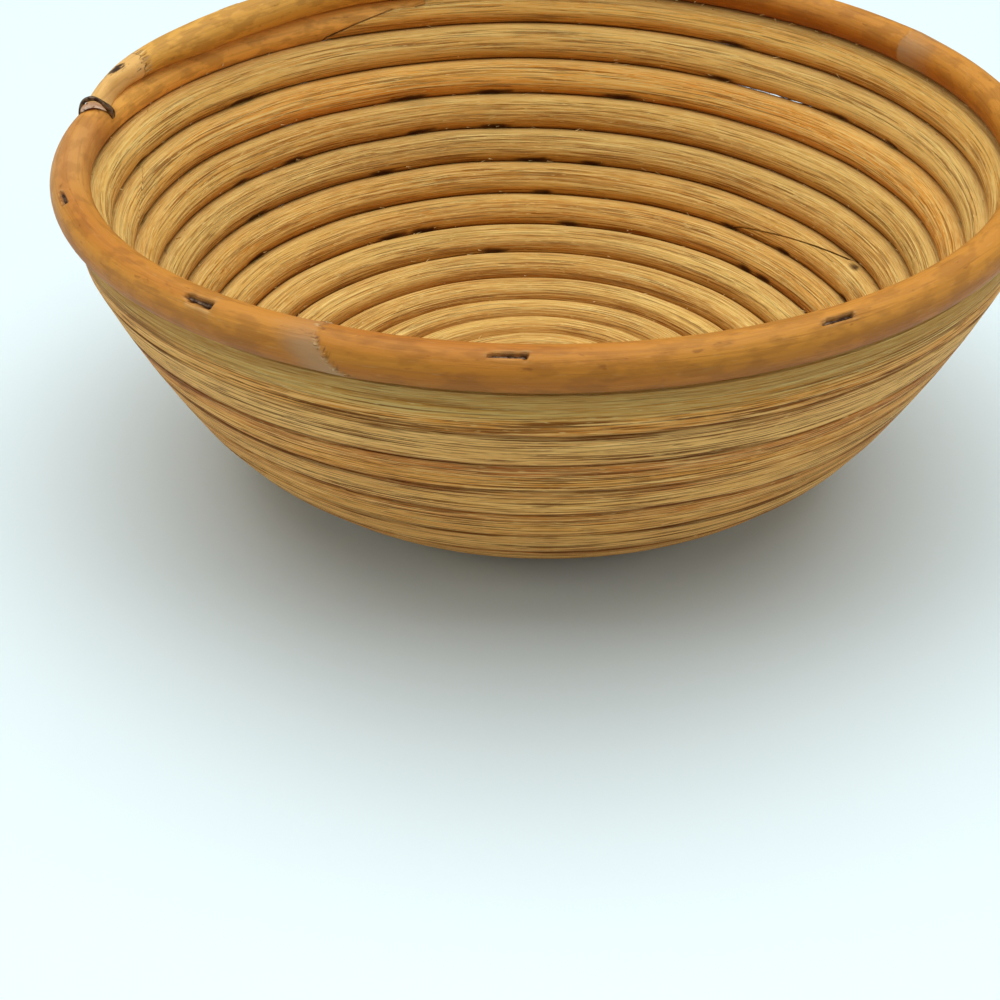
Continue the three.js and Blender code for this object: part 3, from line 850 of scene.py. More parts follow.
class FibreGroup:
    """Shader group with the fibres, furrows and flecks that run along a cane."""

    def __init__(self) -> None:
        """Builds the group."""
        tree = bpy.data.node_groups.new("cane_fibre", "ShaderNodeTree")
        self.tree = tree
        self.nodes = Nodes(tree, {"Place": (0.0, 0.0, 0.0), "Fineness": 1.0, "Seed": 0.0})
        length, across, depth = self.nodes.separate(self.nodes.given["Place"])
        seed = self.nodes.given["Seed"]
        drift = self.nodes.noise(self.nodes.combine(length * 12.0, seed, 0.0), 1.0, 2.0) - 0.5
        self.length, self.across, self.depth = length, across + drift * (0.9 * MM), depth
        self.nodes.give(
            "NodeSocketFloat",
            {
                "Broad": step(0.32, 0.68, self.streak(8.0, 380.0, 1.0, 0.0)),
                "Patch": step(0.36, 0.62, self.streak(26.0, 300.0, 2.0, 1.3)),
                "Thread": step(0.51, 0.6, self.streak(30.0, 2300.0, 3.0, 3.7)),
                "Furrow": step(0.53, 0.6, self.streak(44.0, 2200.0, 3.0, 5.3)),
                "Line": step(0.6, 0.66, self.streak(13.0, 1500.0, 2.0, 17.9)),
                "Fine": step(0.3, 0.7, self.streak(190.0, 4600.0, 2.0, 9.1)),
                "Fleck": step(0.64, 0.74, self.streak(320.0, 2600.0, 1.0, 13.7)),
                "Dash": step(0.56, 0.68, self.streak(120.0, 3000.0, 2.0, 23.1)),
            },
        )

    def streak(self, along: float, crosswise: float, detail: float, shift: float) -> Num:
        """Noise drawn out along the cane.

        Args:
            along: Its scale along the cane.
            crosswise: Its scale across the cane.
            detail: Its octaves.
            shift: What keeps it apart from the other streaks.

        Returns:
            The noise, from 0 to 1.
        """
        given = self.nodes.given
        finer = given["Fineness"] * crosswise
        start = given["Seed"] + shift
        across = self.across * finer + start
        place = self.nodes.combine(self.length * along + start, across, self.depth * finer)
        return self.nodes.noise(place, 1.0, detail)


class Finish:
    """Base of the finishes: a material with a Principled shader."""

    def __init__(self, name: str) -> None:
        """Makes the material and its nodes.

        Args:
            name: The material's name.
        """
        self.material = bpy.data.materials.new(name)
        self.material.use_nodes = True
        self.nodes = Nodes(self.material.node_tree)
        self.shader = self.material.node_tree.nodes["Principled BSDF"]

    def attribute(self, name: str, out: str = "Fac") -> Num:
        """An attribute of the mesh."""
        return self.nodes.add("ShaderNodeAttribute", out=out, attribute_name=name)

    def grouped(self, group: FibreGroup, inputs: dict[str, Any]) -> Num:
        """Places the fibre group in this material.

        Args:
            group: The group.
            inputs: What its inputs get, by name.

        Returns:
            The group's first output.
        """
        node = self.nodes.tree.nodes.new("ShaderNodeGroup")
        node.node_tree = group.tree
        for name, value in inputs.items():
            if isinstance(value, Num):
                self.nodes.tree.links.new(value.socket, node.inputs[name])
            else:
                node.inputs[name].default_value = value
        return Num(self.nodes, node.outputs[0])

    def feed(self, **sockets: Any) -> None:
        """Links or sets the shader's sockets.

        Args:
            **sockets: What each one gets, by its name with underscores for spaces.
        """
        for name, value in sockets.items():
            socket = self.shader.inputs[name.replace("_", " ")]
            if isinstance(value, Num):
                self.nodes.tree.links.new(value.socket, socket)
            else:
                socket.default_value = value

    def layered(self, base: Num, *layers: tuple[Number, Any]) -> Num:
        """Lays colours over a base.

        Args:
            base: The colour below.
            *layers: Each layer's share, and its colour as a hex code or a node's output.

        Returns:
            The colour on top.
        """
        for share, tint in layers:
            base = self.nodes.mix(share, base, colour(tint) if isinstance(tint, str) else tint)
        return base

    def bump(self, height: Num, distance: float, strength: float = 1.0) -> Num:
        """Normal from a height."""
        inputs = {"Height": height, "Distance": distance, "Strength": strength}
        return self.nodes.add("ShaderNodeBump", inputs)


@dataclass(frozen=True)
class PeeledFinish:
    """Finish of peeled cane: matt, with open fibres."""

    name: str
    seed: float = 0.0
    pale: str = "edc062"
    deep: str = "cb8e36"
    warm: str = "d68626"
    grey: str = "cdae6c"
    # Painted highlight along the top of each cane inside.
    edge: str = "cfa058"
    thread: str = "fade8e"
    bright: str = "fccb7c"
    furrow: str = "7c420a"
    line: str = "642e00"
    # Painted shade on each cane's lower flank inside, and in the grooves.
    flank: str = "c09656"
    groove: str = "7a3a08"
    # Staining at the staples' pockets, and painted shade in them.
    stain: str = "3a180a"
    sanded: str = "da8a3e"
    pallid: str = "ecb468"
    # Orange-brown discolouring, also laid as painted shade under the rim at the front.
    rust: str = "b0500a"

    def build(self, group: FibreGroup) -> bpy.types.Material:
        """Makes the material.

        Args:
            group: The fibres' shader group.

        Returns:
            The material.
        """
        finish = Finish(self.name)
        nodes = finish.nodes
        cane = finish.attribute("cane", "Vector")
        length, across, depth = nodes.separate(cane)
        level = across / WALL.pitch
        names = ("Broad", "Patch", "Thread", "Furrow", "Line", "Fine", "Fleck", "Dash")
        first = finish.grouped(group, {"Place": cane, "Seed": self.seed})
        broad, patch, thread, furrow, line, fine, fleck, dash = (first.out(name) for name in names)
        warmth, greyness, light = (finish.attribute(name) for name in ("warmth", "greyness", "light"))
        outside = step(3.0 * MM, 3.6 * MM, depth)
        inside = 1.0 - outside
        wave = step(0.35, 0.7, nodes.noise(nodes.combine(length * 13.0, self.seed, level * 0.7), 1.0, 2.0))
        base = finish.layered(
            nodes.mix(broad, colour(self.deep), colour(self.pale)),
            (outside * 0.6, self.sanded),
            (wave * 0.35, self.warm),
            (warmth * (0.45 + 0.3 * outside), self.warm),
            (greyness * (0.55 - 0.3 * outside), self.grey),
            (greyness * outside * 0.45, self.pallid),
        )
        # Painted light and shade: each turn's inner side is made brighter or darker by its light value.
        light = 1.0 + (light - 1.0) * inside
        base = nodes.mix(1.0, base, nodes.combine(light, light, light), "MULTIPLY")
        beside = nodes.math("ABSOLUTE", level)
        # Painted highlight: a smooth band along the top of each cane inside, tinted with the edge colour and
        # with its lines washed out.
        upper = step(0.22, 0.36, level) * inside
        # Rust-coloured edges and band on the outside: real discolouring, and painted shade under the rim at
        # the front through the raised warmth of the turns there.
        rust = step(0.1, 0.46, beside) * step(0.3, 0.7, wave + 0.5 * warmth) * outside
        band = step(-0.1, 0.3, level) * outside * warmth * warmth
        lined = (0.4 + 0.6 * patch) * (1.0 - upper * 0.7)
        shine = nodes.mix(outside, colour(self.thread), colour(self.bright))
        seam = step(0.38, 0.5, beside + 0.1 * (patch - 0.5) + 0.05 * furrow) * outside
        base = finish.layered(
            base,
            (upper * 0.45, self.edge),
            (rust * (0.3 + 0.3 * patch), self.rust),
            (band * (0.5 + 0.4 * patch), self.rust),
            (fine * 0.45, shine),
            (thread * lined * (0.75 + 0.05 * outside), shine),
            (furrow * lined * (0.62 + 0.28 * outside), self.furrow),
            (line * (0.26 + 0.44 * outside) * (1.0 - upper), self.line),
            (dash * (0.26 + 0.46 * outside) * (1.0 - 0.6 * upper), self.line),
            (fleck * 0.55 * (1.0 - upper), shine),
            (seam * (0.35 + 0.4 * wave), self.line),
        )
        # Painted shade: each cane's lower flank inside is darkened, and the groove below it is painted dark
        # brown where it is deepest.
        flank = step(0.14, 0.48, -level) * inside
        hollow = step(2.9 * MM, 0.9 * MM, -depth) * inside
        base = finish.layered(
            base,
            (flank * 0.64, nodes.mix(1.0, base, colour(self.flank), "MULTIPLY")),
            (hollow * (0.3 + 0.42 * flank), self.groove),
            # The staples' pockets darkened: staining, and painted shade in the pockets.
            (step(0.1, 0.95, finish.attribute("stain")) * 0.88, self.stain),
        )
        relief = thread * lined * 0.6 + fine * 0.3 - furrow * lined * 0.9 - line - dash * 0.6
        finish.feed(
            Base_Color=base,
            Roughness=0.62 + 0.15 * fine,
            Normal=finish.bump(relief, 0.09 * MM, 1.0),
            Specular_IOR_Level=0.1,
        )
        return finish.material


@dataclass(frozen=True)
class SkinFinish:
    """Finish of cane with its skin on: smooth and softly glossy."""

    name: str = "rim_cane_skin"
    # Painted highlight and shade: the top is lighter and the low side darker, by how the light falls.
    top: str = "cc8a32"
    side: str = "b36a12"
    low: str = "985a1e"
    red: str = "a65410"
    brown: str = "744012"
    # Yellowing of the lap, made brighter in part as painted light.
    yellow: str = "ebb654"
    node: str = "b08a62"
    fray: str = "e2c48a"
    # Pale worn skin at the lap's end, also laid as a painted sheen on a stretch at the left.
    worn: str = "ecc080"
    # Painted light on the lower cane beside the lap.
    lit: str = "f8b858"
    # Dark of the slots and marks: staining, and painted shade in the slots.
    slot: str = "2a120a"
    # Pale end grain of the cut end, made paler in part as painted light, since the face turns from the lamps.
    cut: str = "fcdcc0"

    def build(self, group: FibreGroup) -> bpy.types.Material:
        """Makes the material.

        Args:
            group: The fibres' shader group.

        Returns:
            The material.
        """
        finish = Finish(self.name)
        nodes = finish.nodes
        cane = finish.attribute("cane", "Vector")
        length, out, up = nodes.separate(cane)
        names = ("Broad", "Thread", "Furrow", "Fine", "Fleck")
        first = finish.grouped(group, {"Place": cane, "Fineness": 0.6, "Seed": 4.0})
        broad, thread, furrow, fine, fleck = (first.out(name) for name in names)
        grains = ((11.0, 120.0, 3.0), (260.0, 700.0, 2.0), (120.0, 330.0, 3.0), (70.0, 1500.0, 2.0))
        wave, speck, mottled, stripe = (
            nodes.noise(nodes.combine(length * along, out * across, up * across), 1.0, detail)
            for along, across, detail in grains
        )
        yellow, worn, lit, node, fray, cut, stain = (
            finish.attribute(name) for name in ("yellow", "worn", "lit", "node", "fray", "cut", "stain")
        )
        torn = fray * (0.35 + 0.65 * thread)
        base = finish.layered(
            # Painted highlight on the rim's top, and painted shade on its low side.
            nodes.mix(step(-1.5 * MM, 3.6 * MM, up), colour(self.side), colour(self.top)),
            (step(0.5 * MM, 4.2 * MM, -up) * 0.9, self.low),
            (step(0.45, 0.72, wave) * 0.5, self.red),
            # The lap's yellowing, brighter in part as painted light.
            (yellow * 0.7, self.yellow),
            (worn * (0.45 + 0.4 * broad), self.worn),
            (lit, self.lit),
            (broad * 0.14, self.top),
            (furrow * 0.14, self.brown),
            (step(0.66, 0.78, speck) * 0.5, self.brown),
            (fleck * 0.07, self.fray),
            (step(0.46, 0.6, mottled) * 0.28 * (1.0 - 0.8 * worn), self.brown),
            (node * (0.35 + 0.8 * mottled), self.node),
            (torn, nodes.mix(step(0.42, 0.56, stripe), colour(self.brown), colour(self.fray))),
            (fray * furrow * 0.5, self.brown),
            (cut, nodes.mix(step(0.56, 0.68, speck) * 0.6, colour(self.cut), colour(self.brown))),
            # Slots and marks painted dark: staining and painted shade.
            (stain, self.slot),
        )
        finish.feed(
            Base_Color=base,
            Roughness=0.5 + 0.1 * fine + 0.2 * fray,
            Normal=finish.bump(fine * 0.5 - furrow * 0.5 + torn * 2.0 + mottled * 1.5, 0.05 * MM, 0.9),
            Specular_IOR_Level=0.22,
            Coat_Weight=0.03,
            Coat_Roughness=0.35,
        )
        return finish.material


@dataclass(frozen=True)
class SteelFinish:
    """Finish of staple wire: dull, stained brown by the cane."""

    name: str = "stained_staple_steel"
    clean: str = "7c6650"
    stained: str = "3a2417"

    def build(self) -> bpy.types.Material:
        """Makes the finish.

        Returns:
            The material.
        """
        finish = Finish(self.name)
        nodes = finish.nodes
        place = nodes.add("ShaderNodeTexCoord", out="Object")
        patch = step(0.4, 0.62, nodes.noise(place, 900.0, 3.0))
        base = nodes.mix(patch, colour(self.stained), colour(self.clean))
        finish.feed(
            Base_Color=base,
            Metallic=0.6,
            Roughness=0.6 - 0.15 * patch,
            Normal=finish.bump(nodes.noise(place, 3000.0, 2.0), 0.03 * MM),
        )
        return finish.material


@dataclass(frozen=True)
class RimCane:
    """The rim: a cane with its skin on, which is spliced on at its start and laps itself at its end."""

    half: float = 4.42 * MM
    gap: float = 0.01 * MM
    tip_height: float = 1.3 * MM
    end_turn: float = TURNS + 0.2426
    end_lift: float = 0.6 * MM
    settle: tuple[float, float] = (TURNS + 0.0405, TURNS + 0.066)
    lifts_from: float = TURNS + 0.2336
    thins_from: float = TURNS + 0.205
    slants_from: float = TURNS + 0.2226
    end_slants: tuple[float, float] = (0.42, 0.75)
    end_fullness: tuple[float, float] = (-0.45, 0.6)
    end_flatness: float = 0.7
    cap_share: float = 0.93
    crowding: float = 0.3
    sides: int = 60
    coarse: float = 0.85 * MM
    fine: float = 0.28 * MM
    fine_reach: float = 6.0 * MM

    def half_at(self, turn: np.ndarray) -> np.ndarray:
        """Half of the cane's height, which is pared below the lap and thins towards the end."""
        return eased(RIM_HALVES, turn - TURNS) * MM

    def seated(self, turn: np.ndarray) -> np.ndarray:
        """Middle of the cane where it touches the turn below.

        Args:
            turn: Turns to look up.

        Returns:
            One row of three coordinates for each turn.
        """
        x, y, _ = WALL.place(turn, 0.0, 0.0)
        radius = np.hypot(x, y)
        reach = self.half_at(turn) + self.gap
        round_side = [(level, -SECTION.bulge(level)) for level in np.linspace(-0.2, 0.5, 40)]
        top_face = [(0.5, depth) for depth in np.linspace(-SECTION.shoulder, 0.5 * SECTION.sanded, 16)]
        heights = []
        for level, depth in round_side + top_face:
            below_x, below_y, below_z = WALL.place(turn - 1, level * WALL.pitch, depth)
            apart = np.hypot(below_x, below_y) - radius
            heights.append(below_z + np.sqrt(np.maximum(reach**2 - apart**2, 0)))
        return np.column_stack([x, y, np.max(heights, axis=0)])

    def start_turn(self) -> float:
        """Turn at which the splice's tip begins."""
        start, end = Splice.RIM.value
        return start + (end - start) * (0.5 - (self.half - self.tip_height) / WALL.pitch)

    def stations(self) -> np.ndarray:
        """Spaces the sections, closer together at the staples and the nodes.

        Returns:
            Their turns.
        """
        around = 2 * math.pi * RIM_RADIUS
        busy = np.concatenate([RIM_STAPLES, [row[0] for row in RIM_NODES], [self.thins_from, self.end_turn]])
        steps, turn = [self.start_turn()], self.start_turn()
        while turn < self.end_turn:
            near = np.abs(busy - turn).min() * around
            spacing = self.fine if near < self.fine_reach else self.coarse
            turn = min(turn + spacing / around, self.end_turn)
            steps.append(turn)
        return np.array(steps)

    def path(self, turn: np.ndarray, half: np.ndarray) -> tuple[np.ndarray, np.ndarray, np.ndarray]:
        """The cane's middle, outward and upward directions, one row for each turn.

        Args:
            turn: Turns of the sections.
            half: Half of each section's height.

        Returns:
            Middles, outward directions and upward directions.
        """
        laps = turn > self.settle[0]
        lean = np.radians(eased(RIM_LEANS, turn - TURNS)) * laps
        angle = 2 * math.pi * (turn - TURNS)
        radial = np.column_stack([-np.sin(angle), np.cos(angle), 0 * angle])
        upright = np.array([[0.0, 0.0, 1.0]])
        out = radial * np.cos(lean)[:, None] + upright * np.sin(lean)[:, None]
        up = upright * np.cos(lean)[:, None] - radial * np.sin(lean)[:, None]
        lift = self.gap + self.end_lift * step(self.lifts_from, self.end_turn, turn)
        lapped = self.seated(turn - 1) + up * (self.half_at(turn - 1) + half + lift)[:, None]
        direct = self.seated(turn)
        settled = (step(*self.settle, turn) * laps)[:, None]
        return direct + (lapped - direct) * settled, out, up

    def build(self, finish: bpy.types.Material) -> bpy.types.Object:
        """Builds the rim's mesh with its slots, nodes and marks.

        Args:
            finish: The rim's material.

        Returns:
            The rim's object.
        """
        turn = self.stations()
        half = self.half_at(turn)
        thin = step(self.thins_from, self.end_turn, turn)[:, None]
        centre, out, up = self.path(turn, half)
        spin = 2 * math.pi * np.arange(self.sides) / self.sides
        spin = spin - self.crowding * np.sin(2 * (spin - math.pi / 2))
        outwards = np.cos(spin)[None] > 0
        outer, inner = (eased(rows, turn - TURNS)[:, None] * MM for rows in (RIM_OUTER, RIM_INNER))
        x = np.where(outwards, outer, inner) * np.cos(spin)[None]
        above = 1 + thin * np.where(outwards, *self.end_fullness)
        flat = np.where(np.sin(spin)[None] < 0, 1 - self.end_flatness * thin, above)
        y = half[:, None] * np.sign(np.sin(spin))[None] * np.abs(np.sin(spin))[None] ** flat
        reach = self.half_at(turn - 1)[:, None] + half[:, None]
        y = y - thin * (reach - np.sqrt(reach**2 - x**2) + half[:, None] * np.cos(spin)[None] ** 2)
        y = np.maximum(y, self.floor_of(turn, centre)[:, None])
        length = np.concatenate([[0], np.cumsum(np.linalg.norm(np.diff(centre, axis=0), axis=1))])
        marks = RimMarks(turn, length, x, y, spin)
        marks.press_slots()
        marks.raise_nodes()
        marks.wear_lap()
        points = centre[:, None] + out[:, None] * marks.x[:, :, None] + up[:, None] * marks.y[:, :, None]
        slanted = step(self.slants_from, self.end_turn, turn)[:, None] * x * np.where(x > 0, *self.end_slants)
        points = points + np.cross(up, out)[:, None] * slanted[:, :, None]
        middle = points[-1:].mean(axis=1, keepdims=True)
        points = np.concatenate([points, middle + (points[-1:] - middle) * self.cap_share])
        made = plain_object("rim_cane_wound", skin_of("rim_cane_wound", points))
        mesh = made.data
        place = np.stack([np.broadcast_to(length[:, None], x.shape), marks.x, marks.y], axis=-1)
        keep_attribute(mesh, "cane", np.concatenate([place, place[-1:]]).reshape(-1, 3))
        marks.masks["cut"] = np.zeros_like(x)
        for name, values in marks.masks.items():
            last = np.full((1, self.sides), float(name == "cut"))
            keep_attribute(mesh, name, np.concatenate([values, last]).ravel())
        mesh.materials.append(finish)
        return made

    def floor_of(self, turn: np.ndarray, centre: np.ndarray) -> np.ndarray:
        """Finds how low each section may reach, which the splice below sets.

        Args:
            turn: Turns of the sections.
            centre: Middles of the sections.

        Returns:
            The lowest height of each section from its middle.
        """
        start, end = Splice.RIM.value
        level = 0.5 - np.clip((turn - start) / (end - start), 0, 1)
        _, _, split = WALL.place(turn, level * WALL.pitch, -SECTION.bulge(level))
        low = split - centre[:, 2] + self.gap
        tip = end + (start - end) * TIP_SHARE
        return np.where(turn < tip, np.maximum(low, -self.half), -self.half)


# The rim cane by turns beyond TURNS: half of its height and its reach outwards and inwards in mm, and its
# lean in degrees.
RIM_HALVES = (
    (-1.0, 4.42),
    (-0.92, 4.42),
    (-0.86, 3.95),
    (-0.8, 3.95),
    (-0.74, 4.42),
    (0.13, 4.42),
    (0.16, 4.1),
    (0.18, 3.55),
    (0.2, 2.8),
    (0.212, 2.4),
    (0.225, 2.05),
    (0.235, 1.35),
    (0.2405, 0.85),
    (0.2426, 0.78),
)
RIM_OUTER = ((0.205, 4.42), (0.225, 3.9), (0.235, 3.05), (0.2405, 2.4), (0.2426, 2.6))
RIM_INNER = (
    (0.17, 4.42),
    (0.19, 3.5),
    (0.2, 3.0),
    (0.21, 2.3),
    (0.218, 1.85),
    (0.226, 1.85),
    (0.234, 2.4),
    (0.2426, 2.9),
)
RIM_LEANS = ((0.06, 0.0), (0.15, 17.0), (0.165, 18.0), (0.2, 10.0), (0.225, 9.0), (0.247, 5.0))
# Its nodes: turn, slant in mm, length of the dull stretch in mm, and how torn the ring is.
RIM_NODES = ((TURNS - 199 / 360, 3.8, 11.0, 1.0), (TURNS - 60.5 / 360, 0.3, 17.0, 0.25))
# Direction that the slots over the staples face, and how wide each one is.
SLOT_FACING = math.radians(60)
SLOT_SPREADS = (1.2, 1.7, 1.0, 1.1, 1.0, 1.2, 1.0, 1.3, 1.0, 1.0)
# How a slot and its lip fade along and across the cane, and the height of the slot's floor and of its lip.
SLOT_ENDS, SLOT_SIDES = (3.1 * MM, 3.9 * MM), (0.24 * MM, 0.55 * MM)
LIP_ENDS, LIP_SIDES = (3.2 * MM, 4.8 * MM), (0.6 * MM, 1.5 * MM)
SLOT_FLOOR, SLOT_SHARE, LIP_HEIGHT = 3.2 * MM, 0.9, 0.12 * MM
# Widths of a node's swelling, ring and crack, and how far the crack lies beyond the ring.
NODE_WIDTH, RING_WIDTH, CRACK_WIDTH, CRACK_AHEAD = 5 * MM, 0.6 * MM, 0.35 * MM, 0.7 * MM
# The chip and the scar at the lap's node: turn, place around the cane, half the length and half the sweep.
CHIP = (TURNS + 0.2085, math.radians(152), 1.2 * MM, math.radians(12))
SCAR = (TURNS + 0.2155, math.radians(62), 3.6 * MM, math.radians(30))
# Marks by turn: the lap's yellowing, made brighter in part as painted light, and its torn node, a painted
# sheen on a stretch at the left, and painted light on the part of the lower cane beside the lap.
YELLOWS = (TURNS - 0.02, TURNS + 0.05)
LAP_NODE = TURNS + 0.203
TORN_RISE, TORN_FALL, TORN_EDGE = (-3.6 * MM, -1.8 * MM), (-0.15 * MM, 0.15 * MM), 0.3 * MM
SHEEN_RISE, SHEEN_FALL = (TURNS - 0.77, TURNS - 0.73), (TURNS - 0.72, TURNS - 0.66)
LIT_RISE, LIT_FALL = (TURNS - 1.0, TURNS - 0.95), (TURNS - 0.775, TURNS - 0.745)


@dataclass
class RimMarks:
    """Slots, nodes and colour marks of the rim, on its grid of sections and sides."""

    turn: np.ndarray
    length: np.ndarray
    x: np.ndarray
    y: np.ndarray
    spin: np.ndarray

    def __post_init__(self) -> None:
        """Starts with no marks."""
        names = ("stain", "node", "fray", "yellow", "worn", "lit")
        self.masks = {name: np.zeros_like(self.x) for name in names}

    def run_to(self, turn: float) -> np.ndarray:
        """Distance along the cane from a turn, one row for each section."""
        return (self.length - np.interp(turn, self.turn, self.length))[:, None]

    def mark(self, name: str, values: np.ndarray) -> None:
        """Adds to a mask where the new values are stronger."""
        self.masks[name] = np.maximum(self.masks[name], values)

    def beside(self, spot: tuple[float, float, float, float]) -> np.ndarray:
        """Distance from the middle of an oval spot.

        Args:
            spot: Its turn, its place around the cane, half its length and half its sweep.

        Returns:
            The distance, which is 1 at the spot's edge.
        """
        turn, place, length, sweep = spot
        return np.sqrt((self.run_to(turn) / length) ** 2 + ((self.spin[None] - place) / sweep) ** 2)

    def press_slots(self) -> None:
        """Sinks a slot over each staple, with a raised lip."""
        side = self.x * math.sin(SLOT_FACING) - self.y * math.cos(SLOT_FACING)
        top = self.x * math.cos(SLOT_FACING) + self.y * math.sin(SLOT_FACING)
        shown = top > 0
        flat = top.copy()
        for staple, spread in zip(RIM_STAPLES, SLOT_SPREADS):
            ahead = self.run_to(staple)
            run = np.abs(ahead)
            ragged = 0.06 * MM * np.sin(run / MM * 2.3 + staple * 40)
            tapered = 1 - 0.6 * step(2.0 * MM, 3.6 * MM, -ahead)
            broad = 1 + 0.25 * step(2.2 * MM, 2.9 * MM, ahead)
            wide = (np.abs(side) + ragged) / broad / tapered / spread
            inside = (1 - step(*SLOT_ENDS, run)) * (1 - step(*SLOT_SIDES, wide)) * shown
            lip = (1 - step(*LIP_ENDS, run)) * (1 - step(*LIP_SIDES, wide)) * shown
            push = (flat - SLOT_FLOOR) * inside * SLOT_SHARE - LIP_HEIGHT * (lip - inside).clip(0)
            self.x = self.x - push * math.cos(SLOT_FACING)
            self.y = self.y - push * math.sin(SLOT_FACING)
            # The slot is painted dark: staining by the staple, and painted shade in the slot.
            self.mark("stain", inside * (0.75 + 0.25 * (ahead > 0)))
            self.mark("fray", 0.35 * (lip - inside).clip(0))

    def raise_nodes(self) -> None:
        """Swells the cane at each of its nodes and leaves a torn ring and a dull stretch there."""
        rng = np.random.default_rng(5)
        for turn, slant, bloom, torn in RIM_NODES:
            run = self.run_to(turn) + slant * np.sin(self.spin)[None] * MM
            chips = rng.normal(0, 1, self.x.shape)
            chips = (chips + np.roll(chips, 1, 0) + np.roll(chips, 1, 1) + np.roll(chips, 2, 0)) / 2
            jagged = 0.55 * MM * np.sin(self.spin * 9 + 2 * np.sin(self.spin * 4))[None]
            ring = np.exp(-(((run + jagged) / RING_WIDTH) ** 2)) * torn
            crack = np.exp(-(((run + jagged - CRACK_AHEAD) / CRACK_WIDTH) ** 2)) * torn
            swell = np.exp(-((run / NODE_WIDTH) ** 2)) * 0.025 + ring * (0.03 + 0.02 * chips) - crack * 0.03
            self.x = self.x * (1 + swell)
            self.y = self.y * (1 + swell)
            dull = step(-bloom * MM, -2 * MM, run) * (1 - step(-0.4 * MM, 0.4 * MM, run))
            self.mark("node", dull * (1 - 0.6 * step(0.6, 1.0, np.sin(self.spin))[None]))
            self.mark("fray", (ring * (0.5 + 0.4 * chips)).clip(0, 1))
            self.mark("stain", (crack * (0.35 + 0.3 * chips)).clip(0, 0.8))

    def wear_lap(self) -> None:
        """Yellows the lapped end, tears its last node and scars its outer edge, and lays a painted sheen on a
        stretch at the left and painted light on the lower cane beside the lap.
        """
        turn = self.turn[:, None]
        rng = np.random.default_rng(8)
        self.mark("yellow", step(*YELLOWS, turn) * np.ones_like(self.x))
        # A painted sheen on a stretch at the left, laid with the worn colour.
        dry = step(*SHEEN_RISE, turn) * (1 - step(*SHEEN_FALL, turn))
        self.mark("worn", 0.4 * dry * np.ones_like(self.x))
        chips = rng.normal(0, 1, self.x.shape)
        chips = (chips + np.roll(chips, 1, 0) + np.roll(chips, 2, 0) + np.roll(chips, 3, 0)) / 2
        jagged = 0.7 * MM * np.sin(self.spin * 7 + 3 * np.sin(self.spin * 3))[None]
        run = self.run_to(LAP_NODE) + jagged + 1.5 * MM * np.cos(self.spin)[None]
        torn = step(*TORN_RISE, run) * (1 - step(*TORN_FALL, run))
        edge = np.exp(-((run / TORN_EDGE) ** 2))
        self.mark("fray", (torn * (0.8 + 0.2 * chips)).clip(0, 1))
        self.mark("stain", (edge * (0.4 + 0.3 * chips)).clip(0, 0.8))
        bloom = np.exp(-((run / (2.5 * MM)) ** 2))
        self.x = self.x * (1 + 0.02 * bloom)
        self.y = self.y * (1 + 0.02 * bloom - torn * (0.03 + 0.015 * chips))
        self.mark("worn", step(-0.1 * MM, 0.3 * MM, run))
        self.mark("fray", 1 - step(0.6, 1.1, self.beside(CHIP)))
        self.mark("stain", 0.97 * (1 - step(0.6, 1.2, self.beside(SCAR) + 0.22 * chips)))
        # Painted light on the inner side of the lower cane beside the lap.
        below = step(*LIT_RISE, turn) * (1 - step(*LIT_FALL, turn))
        self.mark("lit", 0.95 * below * step(-0.6, 0.3, -np.cos(self.spin))[None])


# Sides of a wire, and the steps that each stretch of a staple's bends is smoothed in.
WIRE_SIDES, STAPLE_STEPS, ARCH_STEPS = 16, 6, 8


def squared(wave: np.ndarray) -> np.ndarray:
    """A sine or cosine drawn towards a rounded square."""
    return np.sign(wave) * np.abs(wave) ** 0.5


def wire_skin(
    path: np.ndarray, face: np.ndarray, width: float | np.ndarray, thickness: float
) -> np.ndarray:
    """Rings of a flattened wire along a path.

    Args:
        path: The wire's middle, one row for each place.
        face: Direction that the wire's broad side faces, one row for all places or for each.
        width: Size across the broad side, for all places or for each.
        thickness: Size the other way.

    Returns:
        Rings by sides by three coordinates.
    """
    ahead = np.gradient(path, axis=0)
    ahead /= np.linalg.norm(ahead, axis=1)[:, None]
    broad = np.cross(ahead, face)
    broad /= np.linalg.norm(broad, axis=1)[:, None]
    thin = np.cross(ahead, broad)
    spin = 2 * math.pi * (np.arange(WIRE_SIDES) + 0.5) / WIRE_SIDES
    flat = squared(np.cos(spin)) * thickness / 2
    wide = squared(np.sin(spin)) * np.broadcast_to(width, len(path))[:, None] / 2
    return path[:, None] + thin[:, None] * flat[None, :, None] + broad[:, None] * wide[:, :, None]


